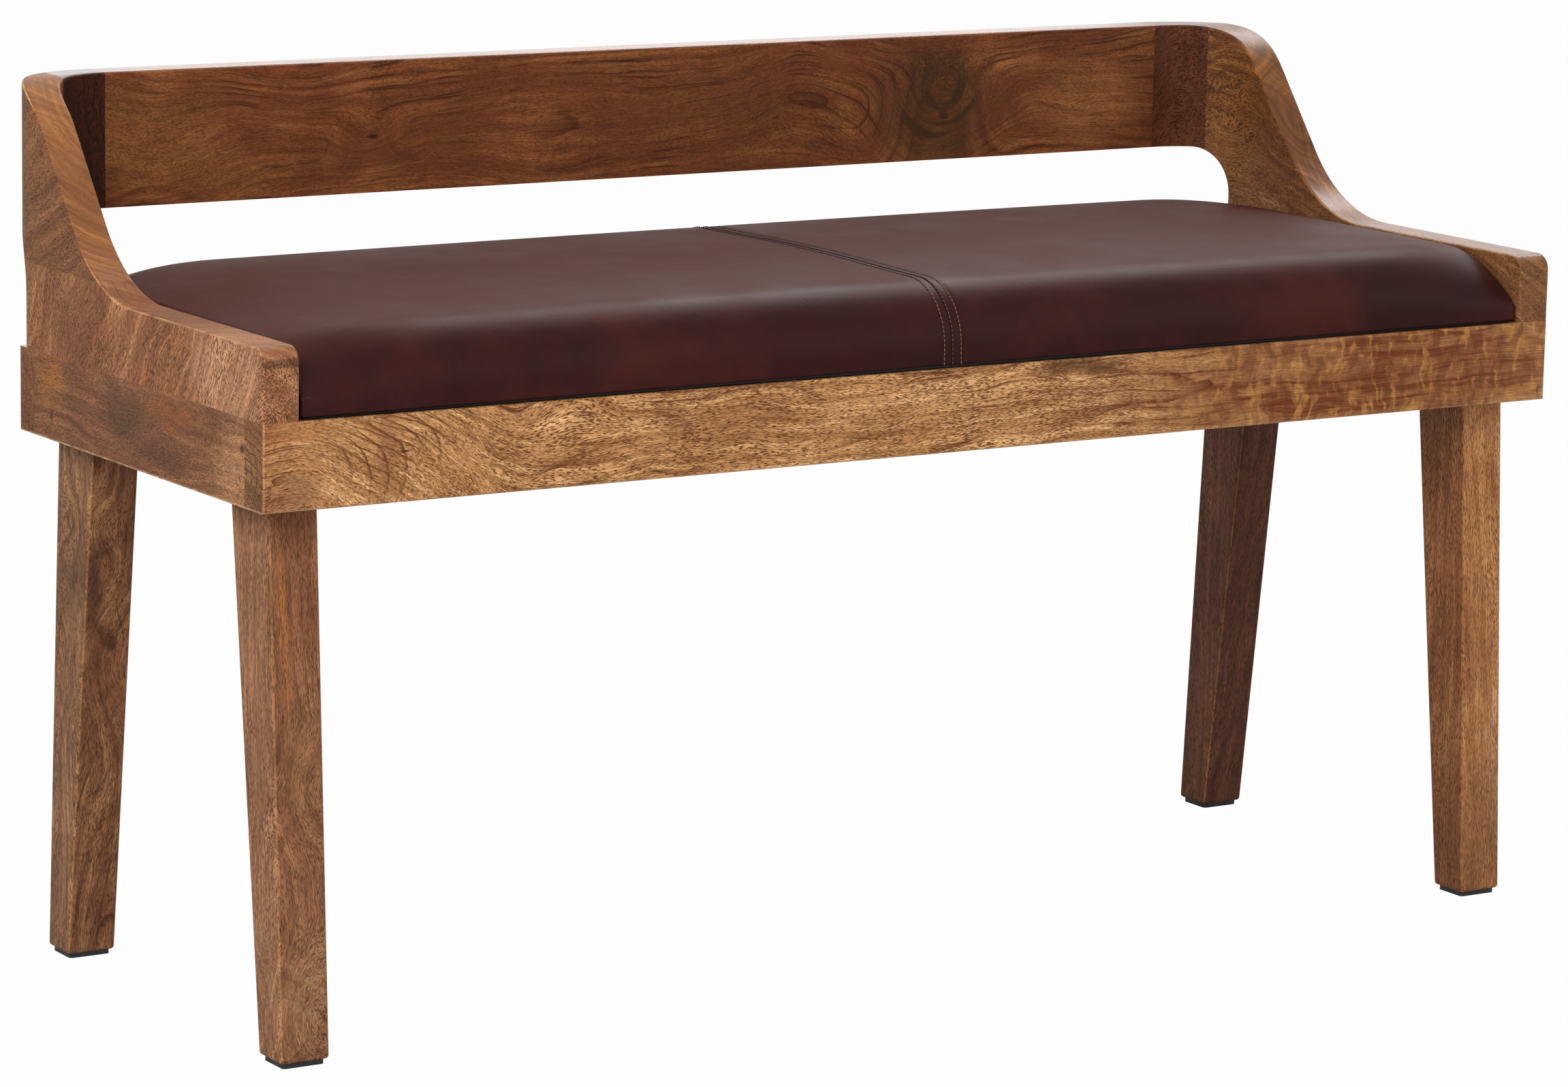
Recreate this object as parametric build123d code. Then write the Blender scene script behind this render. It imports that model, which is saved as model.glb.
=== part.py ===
from build123d import *
import math
import os

# Long hall bench with a low wrap-around back and a leather seat pad, in millimetres.
# +Z is up, the sitter faces -Y, and the origin is on the floor under the middle of the overall box.
# "left" is the -X side, which is on the left of someone who looks at the bench from the front.

# Overall size
length = 1200
apron_depth = 415
back_overhang = 60

# Apron frame
rail_bottom = 423.5
rail_height = 66.5
front_rail_thickness = 30
rear_rail_thickness = 27
side_rail_thickness = 20
bearer_width = 60
bearer_thickness = 22
bearer_housing = 8
bearer_place_share = 0.34
rail_corner_round = 2

# Legs
leg_width = 41
leg_top_depth = 62
leg_foot_depth = 37
front_foot_inset = 6.5
rear_foot_inset = 5.5
leg_top_drop = 4
leg_edge_round = 3
pad_height = 4
pad_margin = 3
pad_corner_round = 3

# Arms and back, one band of constant thickness that turns both rear corners
band_thickness = 30
arm_rise = 55.5
arm_front_round = 13
arm_board_height = 68
wing_block_width = 44
corner_block_width = 45
corner_radius = 85
hollow_radius = 130
shoulder_radius = 87
slope_foot_setback = 194
slope_head_setback = 75
band_edge_round = 2.5
parallel_share = 0.999

# Back board, and the opening between it and the apron
back_board_width = 108
back_gap = 100
opening_end_setback = 70
opening_inner_radius = 42
opening_outer_radius = 58

# Seat pad
pad_gap = 3
pad_setback = 2
pad_draw_in = 1.5
pad_rise = 66
dust_cover_thickness = 3
dust_cover_margin = 1
leather_thickness = 1.6
leather_turn_under = 25
seat_board_thickness = 12
soft_clearance = 0.3
pad_wall_height = 13
pad_roll_width = 50
pad_corner_roll_extra = 42
pad_rear_roll_width = 42
pad_crown = 2
pad_end_drop = 10
pad_section_shares = (0, 0.4, 0.7, 0.8, 0.86, 0.91, 0.95, 0.98, 1)
pad_corner_start_share = 0.8
pad_roll_fullness_share = 0.55
pad_end_fullness_share = 0.67
pad_end_lean_share = 0.33

# Fasteners
bolt_diameter = 8
bolt_engagement = 16.4
bolt_head_diameter = 13
bolt_head_height = 8
bolt_socket_width = 6
bolt_socket_depth = 4
bolt_clearance = 0.5
bolt_height_shares = (0.3, 0.7)
washer_diameter = 20
washer_thickness = 1.6
insert_diameter = 12
insert_length = 18
thread_clearance = 0.1
dowel_diameter = 8
dowel_clearance = 0.1
dowel_end_space = 1
rail_dowel_length = 50
rail_dowel_depth = 15
rail_dowel_shares = (0.25, 0.75)
arm_dowel_length = 60
arm_dowel_shares = (0.22, 0.5, 0.78)
wing_dowel_length = 40
wing_dowel_setbacks = (155, 100)
corner_dowel_length = 24
back_dowel_length = 40
back_dowel_shares = (0.25, 0.72)
screw_diameter = 5
screw_length = 34
screw_head_diameter = 10
screw_head_height = 3.5
screw_clearance = 0.4
screw_place_shares = (0.25, 0.75)

# Places worked out from the sizes above
far = 2 * length
overall_depth = apron_depth + back_overhang
half_length = length / 2
y_front = -overall_depth / 2
y_back = overall_depth / 2
y_apron_rear = y_front + apron_depth
rail_top = rail_bottom + rail_height
side_rail_front = y_front + front_rail_thickness
side_rail_rear = y_apron_rear - rear_rail_thickness
side_rail_x = half_length - side_rail_thickness / 2
arm_top = rail_top + arm_rise
arm_joint = rail_top + arm_board_height
board_bottom = rail_top + back_gap
back_height = board_bottom + back_board_width
corner_x = half_length - corner_radius
corner_y = y_back - corner_radius
wing_joint_x = half_length - wing_block_width
board_joint_x = wing_joint_x - corner_block_width
arm_rear = y_back - opening_end_setback
bearer_x = length * bearer_place_share / 2
leg_x = half_length - side_rail_thickness - leg_width / 2
bolt_length = washer_thickness + leg_top_depth + bolt_engagement
bolt_heights = [rail_bottom + share * rail_height for share in bolt_height_shares]
pad_end = half_length - band_thickness - pad_gap
pad_bottom = rail_top + dust_cover_thickness
seat_board_bottom = pad_bottom + leather_thickness
seat_board_top = seat_board_bottom + seat_board_thickness

# Every piece goes into this list as (name, shape), and is written out at the end.
pieces = []


def box_between(low, high):
    """Box from its lowest corner to its highest."""
    size = [b - a for a, b in zip(low, high)]
    return Pos(*low) * Box(*size, align=(Align.MIN, Align.MIN, Align.MIN))


def rod(start, end, diameter):
    """Plain round bar from one point to another."""
    axis = Vector(*end) - Vector(*start)
    return Plane(origin=start, z_dir=axis) * extrude(Circle(diameter / 2), axis.length)


def mirrored_x(shape):
    """The same shape on the other side of the bench."""
    return mirror(shape, about=Plane.YZ)


def both_sides(solids):
    """The given solids and their mirror images, as one list."""
    return list(solids) + [mirrored_x(solid) for solid in solids]


def group(solids):
    """Separate solids kept together as one group."""
    return Compound(children=list(solids))


def dowel(middle, direction, total, first=None):
    """Dowel through a joint face at middle: first is its length on the side it comes from."""
    first = total / 2 if first is None else first
    way = Vector(*direction)
    start = Vector(*middle) - way * first
    end = start + way * total
    hole_start = start - way * dowel_end_space
    hole_end = end + way * dowel_end_space
    hole_diameter = dowel_diameter + 2 * dowel_clearance
    return rod(start, end, dowel_diameter), rod(hole_start, hole_end, hole_diameter)


# Dowels, each with the hole that it needs

def rail_dowels():
    """Dowels from the front and rear rails into the ends of the side rails, right side."""
    pairs = []
    for share in rail_dowel_shares:
        z = rail_bottom + share * rail_height
        front = (side_rail_x, side_rail_front, z)
        rear = (side_rail_x, side_rail_rear, z)
        pairs.append(dowel(front, (0, 1, 0), rail_dowel_length, rail_dowel_depth))
        pairs.append(dowel(rear, (0, -1, 0), rail_dowel_length, rail_dowel_depth))
    return pairs


def arm_dowels():
    """Upright dowels from the right side rail into the arm board."""
    run = arm_rear - y_front
    places = [(side_rail_x, y_front + share * run, rail_top) for share in arm_dowel_shares]
    return [dowel(place, (0, 0, 1), arm_dowel_length) for place in places]


def wing_dowels():
    """Upright dowels from the right arm board into the wing block."""
    x = half_length - band_thickness / 2
    places = [(x, y_back - setback, arm_joint) for setback in wing_dowel_setbacks]
    return [dowel(place, (0, 0, 1), wing_dowel_length) for place in places]


def corner_dowels():
    """Level dowels from the right wing block into the corner block, mid-wall in the turn."""
    reach = wing_joint_x - corner_x
    inner = math.sqrt((corner_radius - band_thickness) ** 2 - reach ** 2)
    outer = math.sqrt(corner_radius ** 2 - reach ** 2)
    y = corner_y + (inner + outer) / 2
    heights = [board_bottom + share * back_board_width for share in back_dowel_shares]
    return [dowel((wing_joint_x, y, z), (1, 0, 0), corner_dowel_length) for z in heights]


def back_dowels():
    """Level dowels from the right corner block into the back board."""
    y = y_back - band_thickness / 2
    heights = [board_bottom + share * back_board_width for share in back_dowel_shares]
    return [dowel((board_joint_x, y, z), (1, 0, 0), back_dowel_length) for z in heights]


dowel_sets = {
    "rail_dowels": rail_dowels(),
    "arm_dowels": arm_dowels(),
    "wing_dowels": wing_dowels(),
    "corner_dowels": corner_dowels(),
    "back_dowels": back_dowels(),
}


def holes(*names):
    """All holes of the named dowel sets, on both sides of the bench."""
    cutters = []
    for name in names:
        cutters += both_sides([hole for pin, hole in dowel_sets[name]])
    return cutters


for set_name, dowel_pairs in dowel_sets.items():
    pieces.append((set_name, group(both_sides([pin for pin, hole in dowel_pairs]))))


# Leg bolts: each runs through a leg, square to the long rail, into a threaded insert

def leg_bolt_places(front):
    """Leg face, rail face and the way the bolt points, for the front or the rear legs."""
    if front:
        return side_rail_front + leg_top_depth, side_rail_front, -1
    return side_rail_rear - leg_top_depth, side_rail_rear, 1


def bolt_set(front, z):
    """Bolt, washer, insert and the two holes that they need, on the right side."""
    leg_face, rail_face, way = leg_bolt_places(front)
    seat = leg_face - way * washer_thickness
    tip = seat + way * bolt_length
    head_end = seat - way * bolt_head_height
    shank = rod((leg_x, seat, z), (leg_x, tip, z), bolt_diameter)
    head = rod((leg_x, head_end, z), (leg_x, seat, z), bolt_head_diameter)
    socket_plane = Plane(origin=(leg_x, head_end, z), z_dir=(0, way, 0))
    socket = socket_plane * extrude(RegularPolygon(bolt_socket_width / 2, 6), bolt_socket_depth)
    washer_hole = bolt_diameter + 2 * bolt_clearance
    washer = rod((leg_x, seat, z), (leg_x, leg_face, z), washer_diameter)
    washer -= rod((leg_x, seat, z), (leg_x, leg_face, z), washer_hole)
    insert_end = rail_face + way * insert_length
    insert_bore = bolt_diameter + 2 * thread_clearance
    insert = rod((leg_x, rail_face, z), (leg_x, insert_end, z), insert_diameter)
    insert -= rod((leg_x, rail_face, z), (leg_x, insert_end, z), insert_bore)
    leg_hole = rod((leg_x, leg_face, z), (leg_x, rail_face, z), washer_hole)
    rail_hole_end = insert_end + way * dowel_end_space
    rail_hole = rod((leg_x, rail_face, z), (leg_x, rail_hole_end, z), insert_diameter + 2 * thread_clearance)
    return {"bolt": shank + head - socket, "washer": washer, "insert": insert,
            "leg_hole": leg_hole, "rail_hole": rail_hole}


front_bolt_sets = [bolt_set(True, z) for z in bolt_heights]
rear_bolt_sets = [bolt_set(False, z) for z in bolt_heights]


def bolt_parts(name, sets):
    """One part of each bolt set, on both sides of the bench."""
    return both_sides([one[name] for one in sets])


for node, name in (("leg_bolts", "bolt"), ("leg_washers", "washer"), ("leg_inserts", "insert")):
    pieces.append((node, group(bolt_parts(name, front_bolt_sets + rear_bolt_sets))))


# Apron frame

def bearer():
    """Right cross-bearer, let into housings in the tops of both long rails."""
    low = (bearer_x - bearer_width / 2, side_rail_front - bearer_housing, rail_top - bearer_thickness)
    high = (bearer_x + bearer_width / 2, side_rail_rear + bearer_housing, rail_top)
    return box_between(low, high)


def screw_places():
    """Places of the seat screws along the right bearer."""
    run = side_rail_rear - side_rail_front
    return [(bearer_x, side_rail_front + share * run) for share in screw_place_shares]


def screw_holes(bottom, top):
    """Clearance holes for the seat screws, on both sides, between two heights."""
    diameter = screw_diameter + 2 * screw_clearance
    return both_sides([rod((x, y, bottom), (x, y, top), diameter) for x, y in screw_places()])


def front_rail():
    """Front rail, full length, with its end grain showing at both sides."""
    rail = box_between((-half_length, y_front, rail_bottom), (half_length, side_rail_front, rail_top))
    face_edges = rail.edges().group_by(Axis.Y)[0]
    outer = face_edges.filter_by(Axis.Z) + [face_edges.filter_by(Axis.X).sort_by(Axis.Z)[0]]
    rail = fillet(outer, rail_corner_round)
    rail -= both_sides([bearer()])
    return rail - holes("rail_dowels") - bolt_parts("rail_hole", front_bolt_sets)


def rear_rail():
    """Rear rail, full length, hidden behind the legs and under the back."""
    rail = box_between((-half_length, side_rail_rear, rail_bottom), (half_length, y_apron_rear, rail_top))
    face_edges = rail.edges().group_by(Axis.Y)[-1]
    rail = fillet(face_edges.filter_by(Axis.Z), rail_corner_round)
    rail -= both_sides([bearer()])
    return rail - holes("rail_dowels") - bolt_parts("rail_hole", rear_bolt_sets)


def side_rail():
    """Right side rail, butted between the long rails."""
    low = (half_length - side_rail_thickness, side_rail_front, rail_bottom)
    high = (half_length, side_rail_rear, rail_top)
    return box_between(low, high) - holes("rail_dowels", "arm_dowels")


pieces.append(("front_rail", front_rail()))
pieces.append(("rear_rail", rear_rail()))
pieces.append(("right_side_rail", side_rail()))
pieces.append(("left_side_rail", mirrored_x(side_rail())))

drilled_bearer = bearer() - screw_holes(rail_top - bearer_thickness, rail_top)
pieces.append(("right_bearer", drilled_bearer))
pieces.append(("left_bearer", mirrored_x(drilled_bearer)))


# Legs: straight and square inside the frame, then tapered in depth and raked outward

def leg(front):
    """Right front or right rear leg."""
    _, rail_face, way = leg_bolt_places(front)
    foot_inset = front_foot_inset if front else rear_foot_inset
    outer_face = y_front if front else y_apron_rear
    foot_outer = outer_face - way * foot_inset
    foot_inner = foot_outer - way * leg_foot_depth
    top_inner = rail_face - way * leg_top_depth
    top = rail_top - leg_top_drop
    outline = Polyline((rail_face, top), (rail_face, rail_bottom), (foot_outer, pad_height),
                       (foot_inner, pad_height), (top_inner, rail_bottom), (top_inner, top), close=True)
    side_plane = Plane.YZ.offset(leg_x - leg_width / 2)
    shape = extrude(side_plane * make_face(outline), leg_width)
    long_edges = [edge for edge in shape.edges() if edge.length > rail_bottom / 2]
    foot_edges = shape.faces().sort_by(Axis.Z)[0].edges()
    shape = fillet(long_edges + foot_edges, leg_edge_round)
    sets = front_bolt_sets if front else rear_bolt_sets
    return shape - [one["leg_hole"] for one in sets]


def foot_pad(front):
    """Black glide under the right front or right rear leg."""
    way = -1 if front else 1
    outer_face = y_front if front else y_apron_rear
    foot_inset = front_foot_inset if front else rear_foot_inset
    middle = outer_face - way * (foot_inset + leg_foot_depth / 2)
    width = leg_width - 2 * pad_margin
    depth = leg_foot_depth - 2 * pad_margin
    return Pos(leg_x, middle, 0) * extrude(RectangleRounded(width, depth, pad_corner_round), pad_height)


for end, is_front in (("front", True), ("rear", False)):
    one_leg = leg(is_front)
    one_pad = foot_pad(is_front)
    pieces.append((end + "_right_leg", one_leg))
    pieces.append((end + "_left_leg", mirrored_x(one_leg)))
    pieces.append((end + "_right_foot_pad", one_pad))
    pieces.append((end + "_left_foot_pad", mirrored_x(one_pad)))


# Arms and back

def band_plan():
    """The band seen from above: a long U with rounded rear corners, open at the front."""
    outer = Rectangle(length, overall_depth)
    outer = fillet(outer.vertices().group_by(Axis.Y)[-1], corner_radius)
    inner_depth = overall_depth - band_thickness
    inner = Pos(0, y_front + inner_depth / 2) * Rectangle(length - 2 * band_thickness, inner_depth)
    inner = fillet(inner.vertices().group_by(Axis.Y)[-1], corner_radius - band_thickness)
    return outer - inner


def band_side():
    """The band seen from the side: level arm, hollow, slope, shoulder and level back."""
    foot = (y_back - slope_foot_setback, arm_top)
    head = (y_back - slope_head_setback, back_height)
    outline = Polyline((y_front, rail_top), (y_front, arm_top), foot, head, (y_back, back_height),
                       (y_back, rail_top), close=True)
    face = make_face(outline)
    roundings = (((y_front, arm_top), arm_front_round), (foot, hollow_radius), (head, shoulder_radius))
    for place, radius in roundings:
        corner = face.vertices().sort_by_distance((*place, 0))[0]
        face = fillet(corner, radius)
    return face


def opening_side(radius):
    """Side view of the opening: all that is behind the arm and below the back board."""
    top_behind = (y_back + corner_radius, board_bottom)
    low_behind = (y_back + corner_radius, rail_top - rail_height)
    low_front = (arm_rear, rail_top - rail_height)
    outline = Polyline((arm_rear, board_bottom), top_behind, low_behind, low_front, close=True)
    face = make_face(outline)
    corner = face.vertices().sort_by_distance((arm_rear, board_bottom, 0))[0]
    return fillet(corner, radius)


def opening_end():
    """Cutter for the right end of the opening, whose corner grows from inner to outer face."""
    growth = opening_outer_radius - opening_inner_radius
    inner_plane = Plane.YZ.offset(half_length - 2 * band_thickness)
    outer_plane = Plane.YZ.offset(half_length + band_thickness)
    inner_face = inner_plane * opening_side(opening_inner_radius - growth)
    outer_face = outer_plane * opening_side(opening_outer_radius + growth)
    return loft([inner_face, outer_face], ruled=True)


def band():
    """Both arms and the back as one shape, before it is parted at its glue joints."""
    wall = Pos(0, 0, rail_top) * extrude(band_plan(), back_height - rail_top)
    side = extrude(Plane.YZ.offset(-half_length) * band_side(), length)
    middle_half = half_length - 2 * band_thickness
    middle = box_between((-middle_half, arm_rear, rail_top), (middle_half, y_back, board_bottom))
    return (wall & side) - middle - both_sides([opening_end()])


def is_arris(edge):
    """True for the edges along the top of the arms and back, and those down the arm fronts."""
    middle = edge @ 0.5
    way = edge % 0.5
    if middle.Y > arm_rear and middle.Z < board_bottom + band_edge_round:
        return False
    if abs(way.X) > parallel_share and middle.Y < corner_y:
        return False
    if abs(way.Z) > parallel_share:
        return middle.Y < y_front + arm_front_round and edge.length > arm_rise / 2
    return middle.Z > arm_top - arm_front_round


def rounded_band():
    """The band with its long arrises eased."""
    shape = band()
    return fillet([edge for edge in shape.edges() if is_arris(edge)], band_edge_round)


whole_band = rounded_band()


def band_piece(low, high):
    """The part of the band inside a box."""
    return whole_band & box_between(low, high)


right_arm_board = band_piece((corner_x, -far, 0), (far, far, arm_joint))
right_arm_board -= holes("arm_dowels", "wing_dowels")
right_wing = band_piece((wing_joint_x, -far, arm_joint), (far, far, far))
right_wing -= holes("wing_dowels", "corner_dowels")
right_corner = band_piece((board_joint_x, corner_y, arm_joint), (wing_joint_x, far, far))
right_corner -= holes("corner_dowels", "back_dowels")
back_board = band_piece((-board_joint_x, corner_y, arm_joint), (board_joint_x, far, far))
back_board -= holes("back_dowels")

right_pieces = {"arm_board": right_arm_board, "wing_block": right_wing, "corner_block": right_corner}
for name, shape in right_pieces.items():
    pieces.append(("right_" + name, shape))
    pieces.append(("left_" + name, mirrored_x(shape)))
pieces.append(("back_board", back_board))


# Seat pad

def end_share(share):
    """0 over most of the pad, rising to 1 at its end, where it is drawn down beside the arm."""
    past = max(0, share - pad_corner_start_share)
    return (past / (1 - pad_corner_start_share)) ** 2


def roll_controls(share, roll, rise):
    """Middle control points of a roll as (depth, height): round at the seam, sloped beside the arms."""
    past = end_share(share)
    height = (pad_roll_fullness_share + past * (pad_end_fullness_share - pad_roll_fullness_share)) * rise
    far_depth = 1 - pad_roll_fullness_share
    far_depth += past * (pad_end_fullness_share - far_depth)
    return (past * pad_end_lean_share * roll, height), (far_depth * roll, rise)


def pad_section(share, inset):
    """Upright slice of the pad at a share of its half length, drawn in by inset on every face."""
    draw_in = pad_draw_in * (1 - share ** 2)
    front = y_front + pad_setback + draw_in + inset
    rear = y_apron_rear - pad_setback - draw_in - inset
    top = rail_top + pad_rise - pad_crown * share ** 2 - pad_end_drop * end_share(share) - inset
    wall_top = pad_bottom + pad_wall_height
    front_roll = pad_roll_width + pad_corner_roll_extra * end_share(share) - inset
    rear_roll = pad_rear_roll_width + pad_corner_roll_extra * end_share(share) - inset
    rise = top - wall_top
    low, high = roll_controls(share, front_roll, rise)
    front_curve = Bezier((front, wall_top), (front + low[0], wall_top + low[1]), (front + high[0], top),
                         (front + front_roll, top))
    low, high = roll_controls(share, rear_roll, rise)
    rear_curve = Bezier((rear - rear_roll, top), (rear - high[0], top), (rear - low[0], wall_top + low[1]),
                        (rear, wall_top))
    lines = [Line((front, pad_bottom), (front, wall_top)), front_curve,
             Line((front + front_roll, top), (rear - rear_roll, top)), rear_curve,
             Line((rear, wall_top), (rear, pad_bottom)), Line((rear, pad_bottom), (front, pad_bottom))]
    return make_face(lines)


def pad_form(inset):
    """Right half of the pad's outer form, drawn in by inset."""
    reach = pad_end - inset
    sections = [Plane.YZ.offset(share * reach) * pad_section(share, inset) for share in pad_section_shares]
    return loft(sections, ruled=True)


def leather_half():
    """Right half of the leather cover, turned under the seat board, with its seam edge at x = 0."""
    inner = pad_form(leather_thickness) & box_between((0, -far, seat_board_bottom), (far, far, far))
    under_front = y_front + pad_setback + pad_draw_in + leather_turn_under
    under_rear = y_apron_rear - pad_setback - pad_draw_in - leather_turn_under
    window = box_between((0, under_front, 0), (pad_end - leather_turn_under, under_rear, seat_board_top))
    return pad_form(0) - inner - window


def seat_foam():
    """Foam block that gives the pad its crown."""
    inset = leather_thickness + soft_clearance
    half = pad_form(inset) & box_between((0, -far, seat_board_top), (far, far, far))
    return half + mirrored_x(half)


def seat_board():
    """Plywood board that the foam lies on and the leather is pulled around."""
    inset = leather_thickness + soft_clearance
    reach = pad_end - inset
    front = y_front + pad_setback + pad_draw_in + inset
    rear = y_apron_rear - pad_setback - pad_draw_in - inset
    board = box_between((-reach, front, seat_board_bottom), (reach, rear, seat_board_top))
    return board - screw_pilots()


def screw_pilots():
    """Blind holes in the seat board for the screw tips, on both sides."""
    top = rail_top - bearer_thickness + screw_length + soft_clearance
    diameter = screw_diameter + 2 * thread_clearance
    return both_sides([rod((x, y, seat_board_bottom), (x, y, top), diameter) for x, y in screw_places()])


def dust_cover():
    """Black cloth lining under the pad, whose edge shows as a dark line over the rail."""
    reach = pad_end - dust_cover_margin
    front = y_front + pad_setback + dust_cover_margin
    rear = y_apron_rear - pad_setback - dust_cover_margin
    cover = box_between((-reach, front, rail_top), (reach, rear, pad_bottom))
    return cover - screw_holes(rail_top, pad_bottom)


def seat_screws():
    """Screws that pull the pad down onto the bearers, on both sides."""
    bottom = rail_top - bearer_thickness
    screws = []
    for x, y in screw_places():
        shank = rod((x, y, bottom), (x, y, bottom + screw_length), screw_diameter)
        head = rod((x, y, bottom - screw_head_height), (x, y, bottom), screw_head_diameter)
        screws.append(shank + head)
    return group(both_sides(screws))


pieces.append(("seat_leather_right", leather_half()))
pieces.append(("seat_leather_left", mirrored_x(leather_half())))
pieces.append(("seat_foam", seat_foam()))
pieces.append(("seat_board", seat_board()))
pieces.append(("seat_dust_cover", dust_cover()))
pieces.append(("seat_screws", seat_screws()))

# Write every piece
os.makedirs("parts", exist_ok=True)
for name, shape in pieces:
    export_step(shape, "parts/" + name + ".step")
    print(name, "solids:", len(shape.solids()))
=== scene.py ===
import bpy
import bmesh
import math
from mathutils import Euler, Matrix, Quaternion, Vector


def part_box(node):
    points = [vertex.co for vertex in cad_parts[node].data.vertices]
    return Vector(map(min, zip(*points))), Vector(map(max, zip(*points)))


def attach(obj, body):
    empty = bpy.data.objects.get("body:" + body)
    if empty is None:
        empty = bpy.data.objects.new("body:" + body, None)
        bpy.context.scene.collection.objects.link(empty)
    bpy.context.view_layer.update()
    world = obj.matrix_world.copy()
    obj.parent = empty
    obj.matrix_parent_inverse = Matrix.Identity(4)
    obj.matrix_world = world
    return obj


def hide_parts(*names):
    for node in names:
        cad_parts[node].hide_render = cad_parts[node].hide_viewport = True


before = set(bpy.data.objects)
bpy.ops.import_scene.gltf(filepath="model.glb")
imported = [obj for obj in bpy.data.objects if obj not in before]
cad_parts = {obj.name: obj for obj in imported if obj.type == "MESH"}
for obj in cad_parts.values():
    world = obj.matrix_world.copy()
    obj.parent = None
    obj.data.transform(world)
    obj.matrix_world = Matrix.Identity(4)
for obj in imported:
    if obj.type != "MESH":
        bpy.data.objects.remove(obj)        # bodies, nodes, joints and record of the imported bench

# Long bench with a wrap-around wooden back and a leather seat pad, dressed on its CAD frame.
# Metres, +Z up, the sitter faces -Y. Patterns are sized in millimetres and turned to metres by mm.
scene = bpy.context.scene
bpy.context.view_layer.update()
mm = 0.001
print("frame loaded:", len(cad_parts), "nodes")


# Helpers for materials

def colour(hexText):
    # sRGB hex to the linear colour that the shaders want
    parts = [int(hexText[i:i + 2], 16) / 255 for i in (1, 3, 5)]
    linear = [p / 12.92 if p <= 0.04045 else ((p + 0.055) / 1.055) ** 2.4 for p in parts]
    return (*linear, 1.0)


mainSettings = {"Math": "operation", "VectorMath": "operation", "Mix": "data_type", "MapRange": "interpolation_type",
                "Mapping": "vector_type", "TexNoise": "noise_dimensions", "TexVoronoi": "feature",
                "FunctionNodeRandomValue": "data_type"}


def add(tree, kind, *inputs, named=None, stops=(), out=None, **settings):
    # adds one node and gives its first output, or the one called out. A kind may carry its main setting.
    # Inputs stand in the order in which the node shows them, or are named, and are linked or set:
    # a 4D noise shows vector, w, scale, detail and roughness, a map range shows value, from and to.
    kind, _, choice = kind.partition(" ")
    if choice:
        settings[mainSettings[kind]] = choice
    node = tree.nodes.new(kind if "Node" in kind else "ShaderNode" + kind)
    for name, value in settings.items():
        setattr(node, name, value)
    shown = [number for number, socket in enumerate(node.inputs) if socket.enabled]
    for key, value in {**dict(zip(shown, inputs)), **(named or {})}.items():
        if isinstance(value, bpy.types.NodeSocket):
            tree.links.new(value, node.inputs[key])
        else:
            node.inputs[key].default_value = value
    for number, (place, hexText) in enumerate(stops):
        elements = node.color_ramp.elements
        element = elements[number] if number < len(elements) else elements.new(1.0)
        element.position = place
        element.color = colour(hexText)
    return node.outputs[out] if out else next((socket for socket in node.outputs if socket.enabled), None)


def emptyTree(owner):
    # the cleared node tree of a material or a world
    owner.use_nodes = True
    owner.node_tree.nodes.clear()
    return owner.node_tree


def newMaterial(name):
    material = bpy.data.materials.new(name)
    return material, emptyTree(material)


def finishMaterial(tree, inputs):
    # the shader with its named inputs, and the output
    add(tree, "OutputMaterial", add(tree, "BsdfPrincipled", named=inputs))


def paint(node, material):
    # gives a CAD node one material
    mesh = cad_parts[node].data
    mesh.materials.clear()
    mesh.materials.append(material)


# Helpers for meshes

def addPiece(name, mesh, material=None):
    # an object of the scene for a mesh
    if material:
        mesh.materials.append(material)
    piece = bpy.data.objects.new(name, mesh)
    scene.collection.objects.link(piece)
    return piece


def closeMesh(bm, name, smooth=True):
    # turns an edited mesh into one that an object can have
    mesh = bpy.data.meshes.new(name)
    bm.to_mesh(mesh)
    bm.free()
    if smooth:
        mesh.shade_smooth()
    return mesh


def subdivide(piece):
    smooth = piece.modifiers.new("smooth", "SUBSURF")
    smooth.levels = smooth.render_levels = 1


# Wood: solid mango, sanded, stained brown board by board and waxed to a satin.
# It gives the eye big swirling growth figures, fine dark pore dashes that follow them, and pale rubbed arrises.
# Board coordinates are in millimetres: u along the grain, v across the face, w through the board.

grainTurns = {"x": (90, 0, 0), "y": (90, 0, 90), "z": (-90, -90, 0)}

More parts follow.
